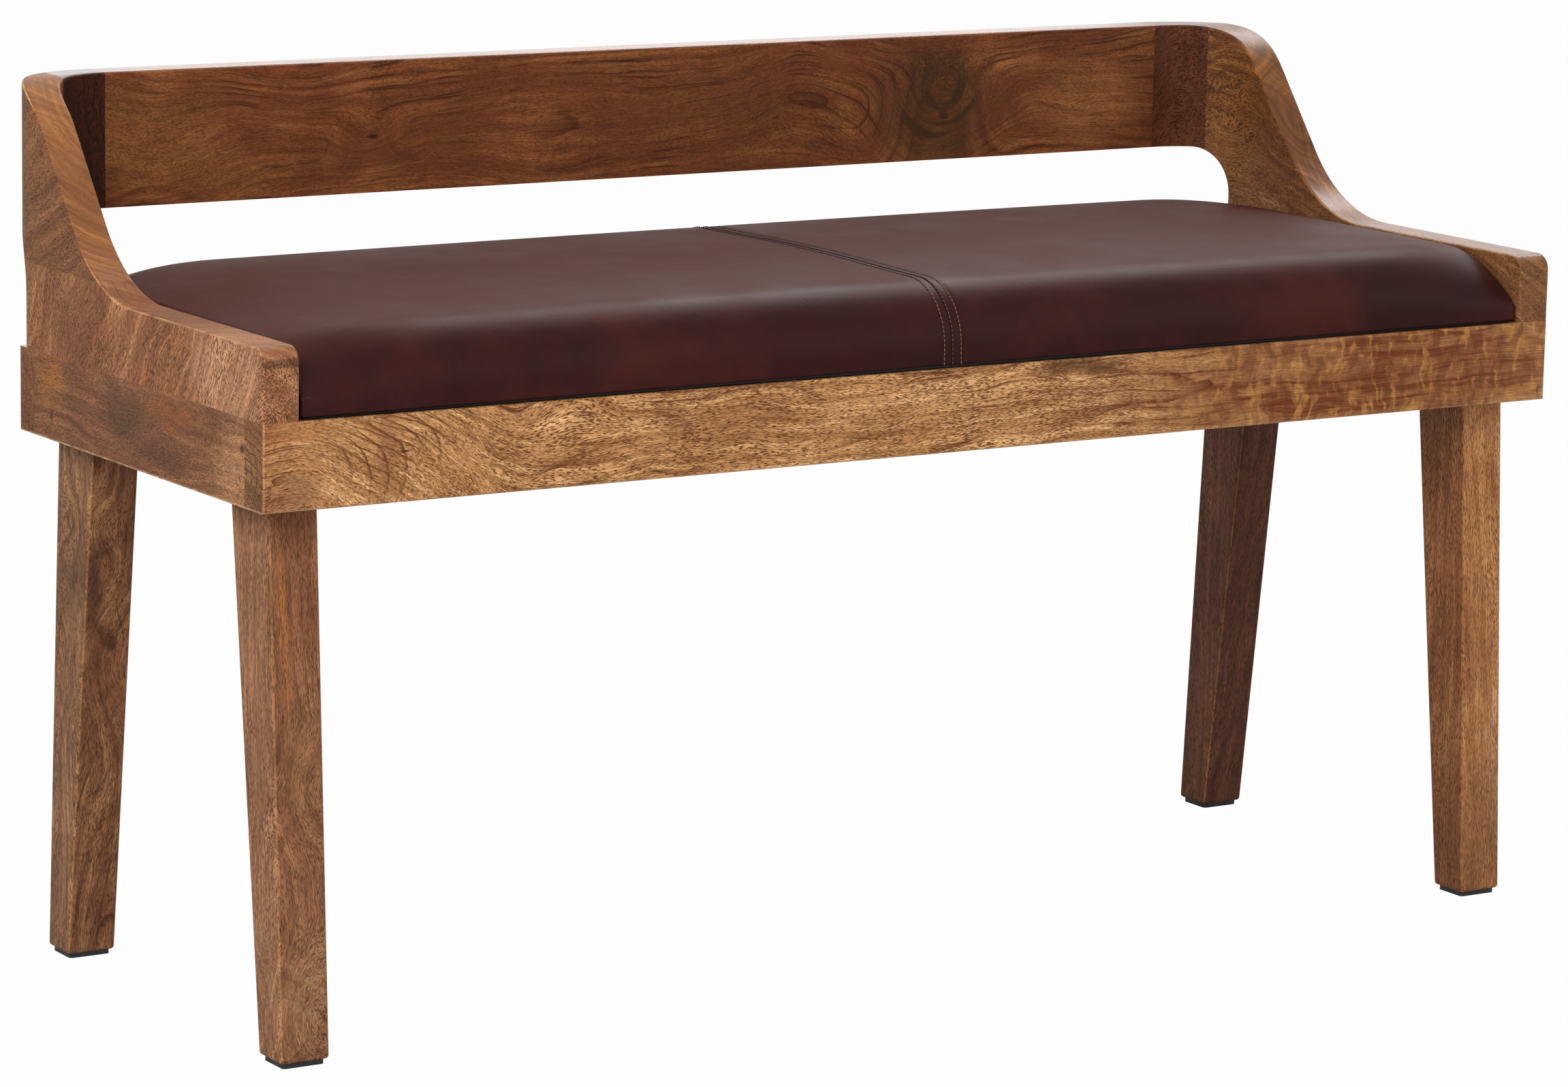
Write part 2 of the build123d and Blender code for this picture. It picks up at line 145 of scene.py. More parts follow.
woodDefaults = {
    "lean": 0,                 # degrees that the grain leans from the length of the board
    "seed": 1.0,               # each noise of the board adds its own whole number to it
    "heart": (-10, -60),       # the tree's heart beside the board, v and w
    "taper": 0.03,             # ring radius gained along the board
    "ring": 7,                 # width of a growth ring
    "wander": 16,              # how far the grain drifts
    "quiver": 1.6,             # and how far it shakes within a quiverCell
    "quiverCell": (30, 9, 9),
    "stride": 170,             # length of one drift along the grain
    "girth": 60,               # and across it
    "eyes": (),                # (u, v, reach, lift) of swirls, which turn the grain round them
    "contrast": 0.75,
    "lines": 0.5,              # strength of the dark ring lines
    "lineSharpness": 5.0,
    "fibre": 0.3,
    "pores": 0.8,
    "poreCell": (2.8, 0.5),    # length and width of the pore pattern
    "streaks": 0.5,            # strength of the bands along the grain
    "patches": (),             # (u, v, reach u, reach v, colour, amount)
    "smallPatch": 12,          # patches smaller than this keep clean edges, like pin knots
    "ribbon": None,            # (start u, end u, bar width, bar height, amount) of chatoyant bars, partly the fibres' figure and partly painted sheen
    "ribbonEdges": ((0.52, 0.72), (0.49, 0.34)),   # noise values between which light and dark bars fade in
    "paintedFaceLight": {},               # painted light and shade: how much lighter or darker the faces are that look along an axis
    "calm": 0.0,               # how much of fibre and pore is sanded and waxed away on faces that look up
    "endShade": 0.8,           # end grain drinks more stain than the rest
    "wear": 0.5,
    "wornColour": "#d9b48a",
    "open": "x- x+ y- y+ z- z+",   # faces whose arrises can be rubbed, or "band" or "leg"
    "arris": (1.9, 0.7),       # from the edge, where the rubbing starts and where it is full
    "gloss": 0.44,
    "sheen": 0.14,
    "coat": 0.7,               # wax lying on the faces that look up
    "coatGloss": 0.22,
    "relief": 0.12,            # depth of the pores
}


def boardCoordinates(tree, node, look):
    # millimetres from the middle of the board, with u along the grain
    low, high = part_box(node)
    turn = Euler([math.radians(a) for a in grainTurns[look["grain"]]]).to_matrix()
    turn = turn @ Matrix.Rotation(math.radians(look["lean"]), 3, "Z")
    place = add(tree, "TexCoord", out="Object")
    return add(tree, "Mapping TEXTURE", place, (low + high) / 2, turn.to_euler(), (mm, mm, mm))


def drift(tree, board, cells, reach, seed):
    # moves coordinates by a soft noise: cells are its sizes, reach is how far it moves them
    squeezed = add(tree, "VectorMath MULTIPLY", board, tuple(1 / c for c in cells))
    cloud = add(tree, "TexNoise 4D", squeezed, seed, 1.0, 1.0, 0.4, out="Color")
    centred = add(tree, "VectorMath SUBTRACT", cloud, (0.5, 0.5, 0.5))
    return add(tree, "VectorMath MULTIPLY_ADD", centred, tuple(2 * r for r in reach), board)


def nearness(tree, coordinates, place, reach, hard):
    # 1 within the hard share of the reach round a place on the face, falling to 0 at the reach
    scale = (1 / reach[0], 1 / reach[1], 0)
    shift = (-place[0] / reach[0], -place[1] / reach[1], 0)
    relative = add(tree, "VectorMath MULTIPLY_ADD", coordinates, scale, shift)
    return add(tree, "MapRange SMOOTHSTEP", add(tree, "VectorMath LENGTH", relative), 1.0, hard)


def grainFields(tree, board, look):
    # drifted coordinates, ring radius and grain line, all bent by the same drifts and swirls
    far, small, girth = look["wander"], look["quiver"], look["girth"]
    slow = drift(tree, board, (look["stride"], girth, girth), (far, far, far * 0.5), look["seed"])
    flow = drift(tree, slow, look["quiverCell"], (small, small, small * 0.5), look["seed"] + 2)
    heart = look["heart"]
    across = add(tree, "VectorMath MULTIPLY_ADD", flow, (0, 1, 1), (0, -heart[0], -heart[1]))
    u, v, w = add(tree, "SeparateXYZ", flow).node.outputs
    radius = add(tree, "Math MULTIPLY_ADD", u, look["taper"], add(tree, "VectorMath LENGTH", across))
    line = add(tree, "Math MULTIPLY_ADD", w, 0.8, v)
    for eyeU, eyeV, reach, lift in look["eyes"]:
        pull = nearness(tree, flow, (eyeU, eyeV), (reach * 1.25, reach), 0.0)
        radius = add(tree, "Math MULTIPLY_ADD", pull, lift * 0.6, radius)
        line = add(tree, "Math MULTIPLY_ADD", pull, lift, line)
    return flow, add(tree, "Math DIVIDE", radius, look["ring"]), line


def rubbedEdges(tree, node, look):
    # 1 on the arrises, which years of hands and cloths have rubbed pale
    if look["open"] in ("band", "leg"):
        facing = add(tree, "VectorMath ABSOLUTE", add(tree, "NewGeometry", out="Normal"))
        x, y, z = add(tree, "SeparateXYZ", facing).node.outputs
        both = add(tree, "Math MULTIPLY", x, z if look["open"] == "band" else y)
        return add(tree, "MapRange SMOOTHSTEP", both, 0.34, 0.48)
    low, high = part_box(node)
    place = add(tree, "TexCoord", out="Object")
    shut = [Vector([0 if axis + sign in look["open"] else 1 for axis in "xyz"]) for sign in "-+"]
    fromLow = add(tree, "VectorMath SUBTRACT", place, low - shut[0])
    fromHigh = add(tree, "VectorMath SUBTRACT", high + shut[1], place)
    x, y, z = add(tree, "SeparateXYZ", add(tree, "VectorMath MINIMUM", fromLow, fromHigh)).node.outputs
    most = add(tree, "Math MAXIMUM", add(tree, "Math MAXIMUM", x, y), z)
    total = add(tree, "Math ADD", add(tree, "Math ADD", x, y), z)
    near = add(tree, "Math SUBTRACT", total, most)
    return add(tree, "MapRange SMOOTHSTEP", near, *(edge * mm for edge in look["arris"]))


def ribbonFigureAndSheen(tree, board, loose, base, look):
    # bars of light and dark across the grain, where the fibres weave: partly their figure, partly painted chatoyant
    # sheen
    start, end, barWidth, barHeight, amount = look["ribbon"]
    squeezed = add(tree, "VectorMath MULTIPLY", loose, (1 / barWidth, 1 / barHeight, 1 / barHeight))
    bars = add(tree, "TexNoise 4D", squeezed, look["seed"] + 13, 1.0, 1.0)
    where = add(tree, "MapRange SMOOTHSTEP", add(tree, "SeparateXYZ", board), start, end, 0.0, amount)
    for edges, tint in zip(look["ribbonEdges"], look["ribbonFigureAndSheenColours"]):
        bar = add(tree, "Math MULTIPLY", add(tree, "MapRange SMOOTHSTEP", bars, *edges, 0.0, 0.8), where)
        base = add(tree, "Mix RGBA", bar, base, colour(tint))
    return base


def boardColour(tree, board, flow, rings, line, look):
    # slow changes of colour and bands along the grain
    bands = add(tree, "TexNoise 1D", rings, 0.9, 2.0, 0.6)
    clouds = add(tree, "TexNoise 4D", flow, look["seed"] + 3, 0.014, 3.0, 0.55)
    long = add(tree, "VectorMath MULTIPLY", flow, (0.007,) * 3)
    streaks = add(tree, "TexNoise 4D", long, add(tree, "Math DIVIDE", line, 7), 1.0, 3.0, 0.65)
    tone = add(tree, "Mix FLOAT", look["streaks"], add(tree, "Mix FLOAT", 0.5, bands, clouds), streaks)
    half = 0.17 / look["contrast"]
    tone = add(tree, "MapRange", tone, 0.5 - half, 0.5 + half)
    base = add(tree, "ValToRGB", tone, stops=zip((0.0, 0.5, 1.0), look["colours"]))

    # thin dark lines on the rings and along the grain, sharp on one side, some strong and some missing
    for field, seed in ((rings, 11), (add(tree, "Math DIVIDE", line, look["ring"] * 1.7), 17)):
        sharp = add(tree, "MapRange SMOOTHSTEP", add(tree, "Math FRACT", field), 0.5, 1.0)
        sharp = add(tree, "Math POWER", sharp, look["lineSharpness"])
        some = add(tree, "TexNoise 4D", flow, look["seed"] + seed, 0.02, 1.0)
        some = add(tree, "MapRange", some, 0.44, 0.64, 0.0, look["lines"])
        base = add(tree, "Mix RGBA", add(tree, "Math MULTIPLY", sharp, some), base, colour(look["lineColour"]))

    # sapwood, stain marks and knots, the large ones with ragged edges
    if look["patches"] or look["ribbon"]:
        ragged = add(tree, "TexNoise 4D", board, look["seed"] + 5, 0.03, 3.0, 0.6, out="Color")
        loose = add(tree, "VectorMath MULTIPLY_ADD", ragged, (34, 34, 0), board)
        loose = add(tree, "VectorMath SUBTRACT", loose, (17, 17, 0))
        combed = add(tree, "MapRange", streaks, 0.4, 0.6, 0.55, 1.25)
    for u, v, reachU, reachV, patchColour, amount in look["patches"]:
        small = max(reachU, reachV) < look["smallPatch"]
        near = nearness(tree, board if small else loose, (u, v), (reachU, reachV), 0.25)
        near = add(tree, "Math MULTIPLY", near, amount if small else add(tree, "Math MULTIPLY", combed, amount))
        base = add(tree, "Mix RGBA", near, base, colour(patchColour))
    if look["ribbon"]:
        base = ribbonFigureAndSheen(tree, board, loose, base, look)
    return base, tone


def makeWood(name, node, look):
    # waxed wood for one board, from its own dictionary
    look = {**woodDefaults, "lineColour": look["colours"][0], **look}
    material, tree = newMaterial(name)
    board = boardCoordinates(tree, node, look)
    flow, rings, line = grainFields(tree, board, look)
    base, tone = boardColour(tree, board, flow, rings, line, look)

    # fibres and pores lie along the grain line: the noise is stretched where the line is level
    normal = add(tree, "NewGeometry", out="Normal")
    axes = add(tree, "SeparateXYZ", add(tree, "VectorMath ABSOLUTE", normal)).node.outputs
    bare = add(tree, "MapRange SMOOTHSTEP", axes[2], 0.3, 0.6, 1.0, 1 - look["calm"])
    length, width = look["poreCell"]
    stretched = add(tree, "VectorMath MULTIPLY", flow, (0.2 / length, 1 / length, 1 / length))
    fibres = add(tree, "TexNoise 4D", stretched, add(tree, "Math DIVIDE", line, 0.6), 1.0, 2.0)
    grey = add(tree, "MapRange", fibres, 0.3, 0.7, 1 - look["fibre"], 1 + look["fibre"])
    base = add(tree, "Mix RGBA", bare, base, grey, blend_type="MULTIPLY")
    short = add(tree, "VectorMath MULTIPLY", flow, (1 / length, 0.6, 0.6))      # keeps them small in a swirl too
    dashes = add(tree, "TexNoise 4D", short, add(tree, "Math DIVIDE", line, width), 1.0, 0.0)
    crowd = add(tree, "TexNoise 4D", flow, look["seed"] + 7, 0.03, 2.0)
    edge = add(tree, "MapRange", crowd, 0.35, 0.65, 0.57, 0.47)
    pores = add(tree, "MapRange SMOOTHSTEP", add(tree, "Math SUBTRACT", dashes, edge), 0.0, 0.06)
    amount = add(tree, "Math MULTIPLY", pores, add(tree, "Math MULTIPLY", bare, look["pores"]))
    if look["ribbon"]:
        dense = add(tree, "MapRange SMOOTHSTEP", add(tree, "SeparateXYZ", board), *look["ribbon"][:2], 1.0, 0.3)
        amount = add(tree, "Math MULTIPLY", amount, dense)
    base = add(tree, "Mix RGBA", amount, base, colour(look["poreColour"]))

    # painted light and shade on faces that look along an axis, and end grain
    for axis, gain in look["paintedFaceLight"].items():
        facingAxis = add(tree, "MapRange SMOOTHSTEP", axes["xyz".index(axis)], 0.4, 0.75)
        base = add(tree, "Mix RGBA", facingAxis, base, add(tree, "VectorMath MULTIPLY", base, gain))
    shade = add(tree, "MapRange SMOOTHSTEP", axes["xyz".index(look["grain"])], 0.7, 0.9, 1.0, look["endShade"])
    base = add(tree, "Mix RGBA", 1.0, base, shade, blend_type="MULTIPLY")

    # rubbed arrises
    broken = add(tree, "TexNoise 4D", board, look["seed"], 0.09, 3.0, 0.7)
    broken = add(tree, "MapRange", broken, 0.3, 0.6, 0.0, look["wear"])
    edges = add(tree, "Math MULTIPLY", rubbedEdges(tree, node, look), broken)
    base = add(tree, "Mix RGBA", edges, base, colour(look["wornColour"]))

    # satin wax: glossier on the dense rings, dull in the pores
    gloss = add(tree, "MapRange", tone, 0.0, 1.0, look["gloss"] - 0.04, look["gloss"] + 0.06)
    height = add(tree, "Math MULTIPLY_ADD", pores, -0.8, fibres)
    up = add(tree, "SeparateXYZ", normal, out="Z")
    finishMaterial(tree, {
        "Base Color": base,
        "Roughness": add(tree, "Math MULTIPLY_ADD", pores, 0.2, gloss),
        "IOR": 1.5,
        "Specular IOR Level": look["sheen"],
        "Coat Weight": add(tree, "MapRange SMOOTHSTEP", up, 0.55, 0.95, 0.0, look["coat"]),
        "Coat Roughness": look["coatGloss"],
        "Normal": add(tree, "Bump", named={"Height": height, "Strength": 0.5, "Distance": look["relief"] * mm}),
    })
    return material


# Boards of the apron

frontRail = {
    "grain": "x", "seed": 2.4, "heart": (4, -42), "taper": 0.035, "ring": 8, "wander": 13, "stride": 105, "girth": 55,
    "open": "x- x+ y- z-",
    "colours": ("#966237", "#c7915d", "#fbc589"), "poreColour": "#623418", "lineColour": "#643216", "lines": 1.0,
    "poreCell": (3.6, 0.42), "pores": 0.9, "fibre": 0.36, "contrast": 1.15, "streaks": 0.6, "endShade": 0.58,
    "eyes": ((-582, -34, 170, -140), (-330, 60, 60, -20)),
    "patches": ((-585, 26, 60, 20, "#a56138", 0.5), (-575, -24, 34, 20, "#7d5645", 0.5),
                (-500, 0, 18, 60, "#855030", 0.5), (130, 27, 75, 9, "#624225", 0.8),
                (-483, 5, 7, 1.3, "#2a1409", 0.95), (420, 0, 330, 70, "#743818", 0.92)),
    # the ribbon's bars are partly the fibres' figure and partly painted chatoyant sheen
    "ribbon": (110, 330, 6.5, 15, 0.75), "ribbonFigureAndSheenColours": ("#cc9350", "#6a3a1c"), "wear": 0.55,
}
rearRail = {
    "grain": "x", "seed": 6.1, "colours": ("#623b25", "#895736", "#a77552"), "poreColour": "#462a1b", "wear": 0.35,
    "endShade": 1.0, "open": "x- x+ y+ z-",
}
leftSideRail = {
    "grain": "y", "seed": 3.3, "heart": (10, 70), "wander": 15, "stride": 100, "girth": 55,
    "colours": ("#5a3922", "#835336", "#ad7751"), "poreColour": "#412817", "contrast": 1.0, "pores": 0.65,
    "poreCell": (2.4, 0.4), "open": "x- z-", "wear": 0.6,
    "patches": ((150, 18, 40, 40, "#a66a30", 0.7), (20, 6, 60, 34, "#543c28", 0.7),
                (-40, -18, 60, 16, "#483021", 0.6), (-60, 20, 60, 16, "#93572c", 0.6),
                (-170, -4, 60, 50, "#c48e62", 0.85), (-176, 10, 5, 6, "#3e2114", 0.9),
                (148, -14, 4, 7, "#3e2114", 0.8)),
}
rightSideRail = {
    "grain": "y", "seed": 8.7, "colours": ("#5a3824", "#7e5133", "#a06f49"), "poreColour": "#432917", "wear": 0.5,
    "open": "x+ z-",
}
bearerLook = {                   # sawn and left raw: pale and dull
    "grain": "y", "seed": 5.2, "colours": ("#8d6a48", "#b08a62", "#c9a67e"), "poreColour": "#7a5639", "wear": 0.1,
    "gloss": 0.62,
}
paint("front_rail", makeWood("waxedMangoFrontRail", "front_rail", frontRail))
paint("rear_rail", makeWood("waxedMangoRearRail", "rear_rail", rearRail))
paint("left_side_rail", makeWood("waxedMangoLeftRail", "left_side_rail", leftSideRail))
paint("right_side_rail", makeWood("waxedMangoRightRail", "right_side_rail", rightSideRail))
for node in ("left_bearer", "right_bearer"):
    paint(node, makeWood("rawMango_" + node, node, bearerLook))
print("apron painted")


# Legs

legLooks = {
    # each leg's x gains are painted light and shade on its faces that look along x: lighter on three legs, darker on
    # the front right one
    "front_left_leg": {
        "seed": 1.7, "colours": ("#6a3f26", "#916041", "#b8825b"), "poreColour": "#4b2b18",
        "eyes": ((-40, 6, 50, 20), (-210, 0, 60, 40)), "lines": 0.9, "paintedFaceLight": {"x": (1.2, 1.3, 1.32)},
        "patches": ((-30, 4, 70, 20, "#a4734f", 0.5), (170, 0, 60, 30, "#724429", 0.5),
                    (80, -13, 90, 6, "#b4733c", 0.6), (-190, 4, 90, 30, "#b58a63", 0.4)),
    },
    "rear_left_leg": {
        "seed": 4.9, "colours": ("#56341e", "#855739", "#b5845b"), "poreColour": "#412516",
        "eyes": ((0, 2, 70, 26), (110, -8, 30, 14)), "lines": 0.8, "lineColour": "#3d2111",
        "paintedFaceLight": {"x": (1.28, 1.42, 1.45)},
        "patches": ((60, -16, 50, 12, "#472e1e", 0.7), (20, 4, 14, 9, "#391c10", 0.8)),
    },
    "rear_right_leg": {
        "seed": 7.3, "colours": ("#452617", "#5f3826", "#7f4e3a"), "poreColour": "#331b10",
        "paintedFaceLight": {"x": (1.5, 1.6, 1.5)},
    },
    "front_right_leg": {
        "seed": 9.2, "colours": ("#8c562c", "#bc8250", "#e3a76f"), "poreColour": "#5d371d",
        "paintedFaceLight": {"x": (0.56, 0.48, 0.46)},
        "patches": ((-60, -10, 110, 10, "#8d5632", 0.5), (-150, 12, 120, 9, "#d0a075", 0.5),
                    (-210, 0, 120, 60, "#8a5936", 0.6)),
    },
}
legCommon = {
    "grain": "z", "heart": (24, 40), "taper": 0.02, "ring": 6, "wander": 14, "stride": 200, "girth": 45,
    "open": "leg", "wear": 0.3, "wornColour": "#c2925f", "contrast": 1.05, "pores": 0.75, "poreCell": (4.0, 0.38),
}
for node, look in legLooks.items():
    paint(node, makeWood("waxedMango_" + node, node, {**legCommon, **look}))
print("legs painted")


# Arms and back

armLooks = {
    "left_arm_board": {
        "grain": "y", "lean": -58, "seed": 2.9, "heart": (60, 90), "wander": 26, "stride": 90, "girth": 70,
        "colours": ("#78472b", "#9c6640", "#ca9163"), "poreColour": "#4f2e1c", "contrast": 1.1, "fibre": 0.4,
        "coat": 0.0, "lines": 0.4, "wornColour": "#d7aa7e", "wear": 0.6,
        # painted shade: its faces that look along y and up are darker
        "paintedFaceLight": {"y": (0.96, 0.91, 0.89), "z": (0.8, 0.71, 0.61)},
        "patches": ((-80, -127, 90, 90, "#cf9b72", 0.7), (64, 102, 70, 80, "#7c4d33", 0.5),
                    (-117, -169, 5, 4.5, "#3e2418", 0.55)),
    },
    "right_arm_board": {
        "grain": "y", "lean": 20, "seed": 5.8, "colours": ("#694227", "#8d5d38", "#b47f52"), "poreColour": "#472b18",
        "wear": 0.5,
    },
    "left_wing_block": {
        "grain": "y", "lean": -30, "seed": 3.6, "heart": (50, 60), "wander": 22, "stride": 120, "girth": 70,
        "colours": ("#613b23", "#895937", "#b17b4d"), "poreColour": "#472917", "contrast": 0.95, "fibre": 0.36,
        "coat": 0.05, "wornColour": "#e1b37b", "wear": 0.85,
        # painted light: its sloping faces that look partly up are lighter
        "paintedFaceLight": {"z": (1.32, 1.26, 1.06)}, "patches": ((60, 20, 60, 120, "#785337", 0.5),),
    },
    "right_wing_block": {
        "grain": "y", "lean": 10, "seed": 6.6, "heart": (-40, 70), "wander": 30, "stride": 80, "girth": 50,
        "colours": ("#52301a", "#7f4f2b", "#b67841"), "poreColour": "#402211", "lines": 0.7, "contrast": 1.0,
        "patches": ((40, -50, 90, 50, "#a06c3e", 0.6), (110, 40, 40, 60, "#5a3520", 0.5)),
        "wornColour": "#c68f55", "wear": 0.6,
    },
    "left_corner_block": {
        # its dark colours are painted shade, where the left wing keeps the light from the left off it
        "grain": "z", "seed": 1.3, "colours": ("#291108", "#422012", "#5d311c"), "poreColour": "#190904", "wear": 0.2,
        "sheen": 0.1,
    },
    "right_corner_block": {
        "grain": "z", "lean": 35, "seed": 7.9, "colours": ("#4c2a18", "#623824", "#7a4a30"), "poreColour": "#32180c",
        "wear": 0.2, "sheen": 0.1,
    },
    "back_board": {
        "grain": "x", "seed": 4.2, "heart": (-10, 55), "taper": 0.01, "ring": 8, "wander": 26, "girth": 80,
        "colours": ("#5b3119", "#7e4627", "#b0703f"), "poreColour": "#432210", "pores": 0.5, "streaks": 0.4,
        "contrast": 0.9, "lines": 0.9, "lineColour": "#3c1b07", "sheen": 0.12, "wear": 0.3,
        "eyes": ((-271, -8, 45, 22), (289, -16, 75, 60), (150, 20, 80, -26), (-470, -40, 90, 30)),
        "patches": ((-480, 0, 110, 60, "#956235", 0.5), (-400, -30, 60, 30, "#956235", 0.5),
                    (-271, -8, 7, 3, "#291006", 0.9), (289, -16, 8, 5, "#291006", 0.95),
                    (280, -6, 92, 74, "#452d1a", 0.85), (60, 0, 160, 40, "#593619", 0.4),
                    (440, -10, 80, 54, "#a5683d", 0.7)),
    },
}
armCommon = {"open": "band", "endShade": 0.95, "calm": 0.7}
for node, look in armLooks.items():
    paint(node, makeWood("waxedMango_" + node, node, {**armCommon, **look}))
print("arms and back painted")


# Seat pad: the leather cover, blown up as cloth round its foam, with one sewn seam across its middle

padLook = {
    "columnStep": 12 * mm,
    "fineStep": 2 * mm,          # columns beside the seam
    "fineColumns": 7,            # and their number on either side of it
    "armReach": 60 * mm,         # length beside the arms where the columns draw closer
    "armColumns": 12,
    "armCrowding": 1.6,
    "rollSteps": 12,
    "flatSteps": 28,
    "endSlices": 4,              # slices that round the ends
    "wallHeight": 13 * mm,
    "lip": 1.0 * mm,             # how far the hide's edge hangs over the lining
    "roll": 50 * mm,             # depth of the front roll at the seam
    "rollExtra": 42 * mm,        # and what it gains at the arms
    "rearRoll": 42 * mm,
    "fullness": 0.55,            # of the roll at the seam, and at the arms
    "endFullness": 0.67,
    "endLean": 0.33,
    "drawIn": 1.5 * mm,
    "crown": 2 * mm,
    "endDrop": 10 * mm,
    "cornerStart": 0.8,          # share of the half length where the corners begin
    "endRound": 3 * mm,
    "endShrink": 0.8,            # how much of that rounding also draws the slices in
    "footStep": 1 * mm,          # height of the first faces of the walls
    "hem": 2.4 * mm,             # width of the first faces below the walls
    "swell": 1.2 * mm,           # drawn in before the cloth is blown up
    "pinned": 0.7,               # share of the wall's height from which the hide starts to rise
    "cap": 2.4 * mm,             # most that the hide rises
    "endHold": 0.7,              # and how much less that is on the end faces
    "common": 0.98,              # share of the points whose rise counts for it
    "frames": 20,
    "ironing": 12,               # passes that even the result out, as a tight hide does
    "seamPlace": 5 * mm,
    "seamDepth": 1.0 * mm,
    "seamWidth": 8 * mm,         # of the shallow valley, whose right bank has a sharp crease
    "creaseWidth": 1.7 * mm,
    "creaseShare": 0.55,         # of the depth
    "seamFade": 6 * mm,          # height over which the seam starts
    "leather": 1.6 * mm,
    "turnUnder": 25 * mm,
}
hideCloth = {
    "quality": 8,
    "mass": 0.4,
    "tension_stiffness": 15,
    "compression_stiffness": 15,
    "tension_damping": 25,
    "compression_damping": 25,
    "bending_stiffness": 8,
    "air_damping": 4,
    "shrink_min": -0.002,        # the hide is cut this much bigger than its foam
    "use_pressure": True,
    "uniform_pressure_force": 4.0,
    "vertex_group_mass": "held",
}
padLow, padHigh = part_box("seat_leather_left")[0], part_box("seat_leather_right")[1]
wallPoints = 3                   # points of a slice below each roll


def clampShare(value):
    return max(0.0, min(1.0, value))


def padColumns(look):
    # places along the pad: close together at the seam and at the arms
    last, seam, reach = padHigh.x - look["endRound"], look["seamPlace"], look["armReach"]
    fine = look["fineColumns"]
    places = [seam + k * look["fineStep"] for k in range(-fine, fine + 1)]
    for sign in (1, -1):
        start, end = seam + sign * (fine * look["fineStep"]), sign * (last - reach)
        count = round(abs(end - start) / look["columnStep"])
        places += [start + (end - start) * k / count for k in range(1, count + 1)]
        count = look["armColumns"]
        places += [sign * (last - reach * (1 - k / count) ** look["armCrowding"]) for k in range(1, count + 1)]
    return sorted(places)


def rollPoints(edge, way, depth, wallTop, top, corner, look):
    # a round roll in the middle of the pad, opening to a slope beside the arms
    full = look["fullness"] + corner * (look["endFullness"] - look["fullness"])
    far = 1 - look["fullness"]
    far += corner * (look["endFullness"] - far)
    handles = ((edge, wallTop), (edge + way * corner * look["endLean"] * depth, wallTop + full * (top - wallTop)),
               (edge + way * far * depth, top), (edge + way * depth, top))
    points = []
    for k in range(look["rollSteps"] + 1):
        t = k / look["rollSteps"]
        weights = ((1 - t) ** 3, 3 * t * (1 - t) ** 2, 3 * t * t * (1 - t), t ** 3)
        points.append([sum(w * p[i] for w, p in zip(weights, handles)) for i in (0, 1)])
    return points


def padSection(x, inset, look):
    # one upright slice: up the front wall, over the top and down to the foot of the rear wall
    share = min(1.0, abs(x) / padHigh.x)
    corner = (max(0.0, share - look["cornerStart"]) / (1 - look["cornerStart"])) ** 2
    drawIn = look["drawIn"] * (1 - share ** 2) + inset
    front, rear = padLow.y + drawIn, padHigh.y - drawIn
    top = padHigh.z - look["crown"] * share ** 2 - look["endDrop"] * corner - inset
    wallTop = padLow.z + look["wallHeight"]
    frontDepth = look["roll"] + look["rollExtra"] * corner - inset
    rearDepth = look["rearRoll"] + look["rollExtra"] * corner - inset
    frontRoll = rollPoints(front, 1, frontDepth, wallTop, top, corner, look)
    rearRoll = rollPoints(rear, -1, rearDepth, wallTop, top, corner, look)
    start, end = frontRoll[-1][0], rearRoll[-1][0]
    steps = look["flatSteps"]
    flat = [(start + (end - start) * k / steps, top) for k in range(1, steps)]
    heights = [padLow.z - look["lip"], padLow.z + look["footStep"], padLow.z + look["wallHeight"] / 2]
    return [(front, z) for z in heights] + frontRoll + flat + rearRoll[::-1] + [(rear, z) for z in heights[::-1]]


def padMesh(name, look):
    # the whole outer form, closed below and at both ends
    last = padHigh.x
    places = [p for p in padColumns(look) if abs(p) < last - look["endRound"] / 2]
    sections = [[(x, y, z) for y, z in padSection(x, 0.0, look)] for x in places]
    for sign in (1, -1):
        for k in range(1, look["endSlices"] + 1):
            angle = k / look["endSlices"] * math.pi / 2
            x = sign * (last - look["endRound"] * (1 - math.sin(angle)))
            drawn = look["endRound"] * (1 - math.cos(angle))
            endSlice = padSection(last, drawn * look["endShrink"], look)
            endSlice = [(x, y, max(z, padLow.z - look["lip"])) for y, z in endSlice]
            sections.insert(len(sections) if sign > 0 else 0, endSlice)
    bm = bmesh.new()
    rows = [[bm.verts.new(p) for p in section] for section in sections]
    count = len(rows[0])
    for a, b in zip(rows, rows[1:]):
        for i in range(count - 1):
            bm.faces.new((a[i], b[i], b[i + 1], a[i + 1]))

    def across(row, level):
        # a level line through a slice from its front to its rear point
        steps = look["flatSteps"]
        low, high = row[level], row[count - 1 - level]
        edge = look["hem"] / (high.co.y - low.co.y)
        shares = [edge, *[k / steps for k in range(2, steps - 1)], 1 - edge]
        inner = [bm.verts.new(low.co.lerp(high.co, share)) for share in shares]
        for vert in inner:
            vert.co.z = max(vert.co.z, padLow.z)
        return [low, *inner, high]

    floors = [across(row, 0) for row in rows]
    for a, b in zip(floors, floors[1:]):
        for i in range(len(a) - 1):
            bm.faces.new((a[i], a[i + 1], b[i + 1], b[i]))
    levels = wallPoints + look["rollSteps"]
    for row, below in ((rows[0], floors[0]), (rows[-1], floors[-1])):
        for level in range(1, levels + 1):
            above = row[levels:count - levels] if level == levels else across(row, level)
            for i in range(len(below) - 1):
                bm.faces.new((below[i], below[i + 1], above[i + 1], above[i]))
            below = above
    bmesh.ops.recalc_face_normals(bm, faces=bm.faces)
    return addPiece(name, closeMesh(bm, name))


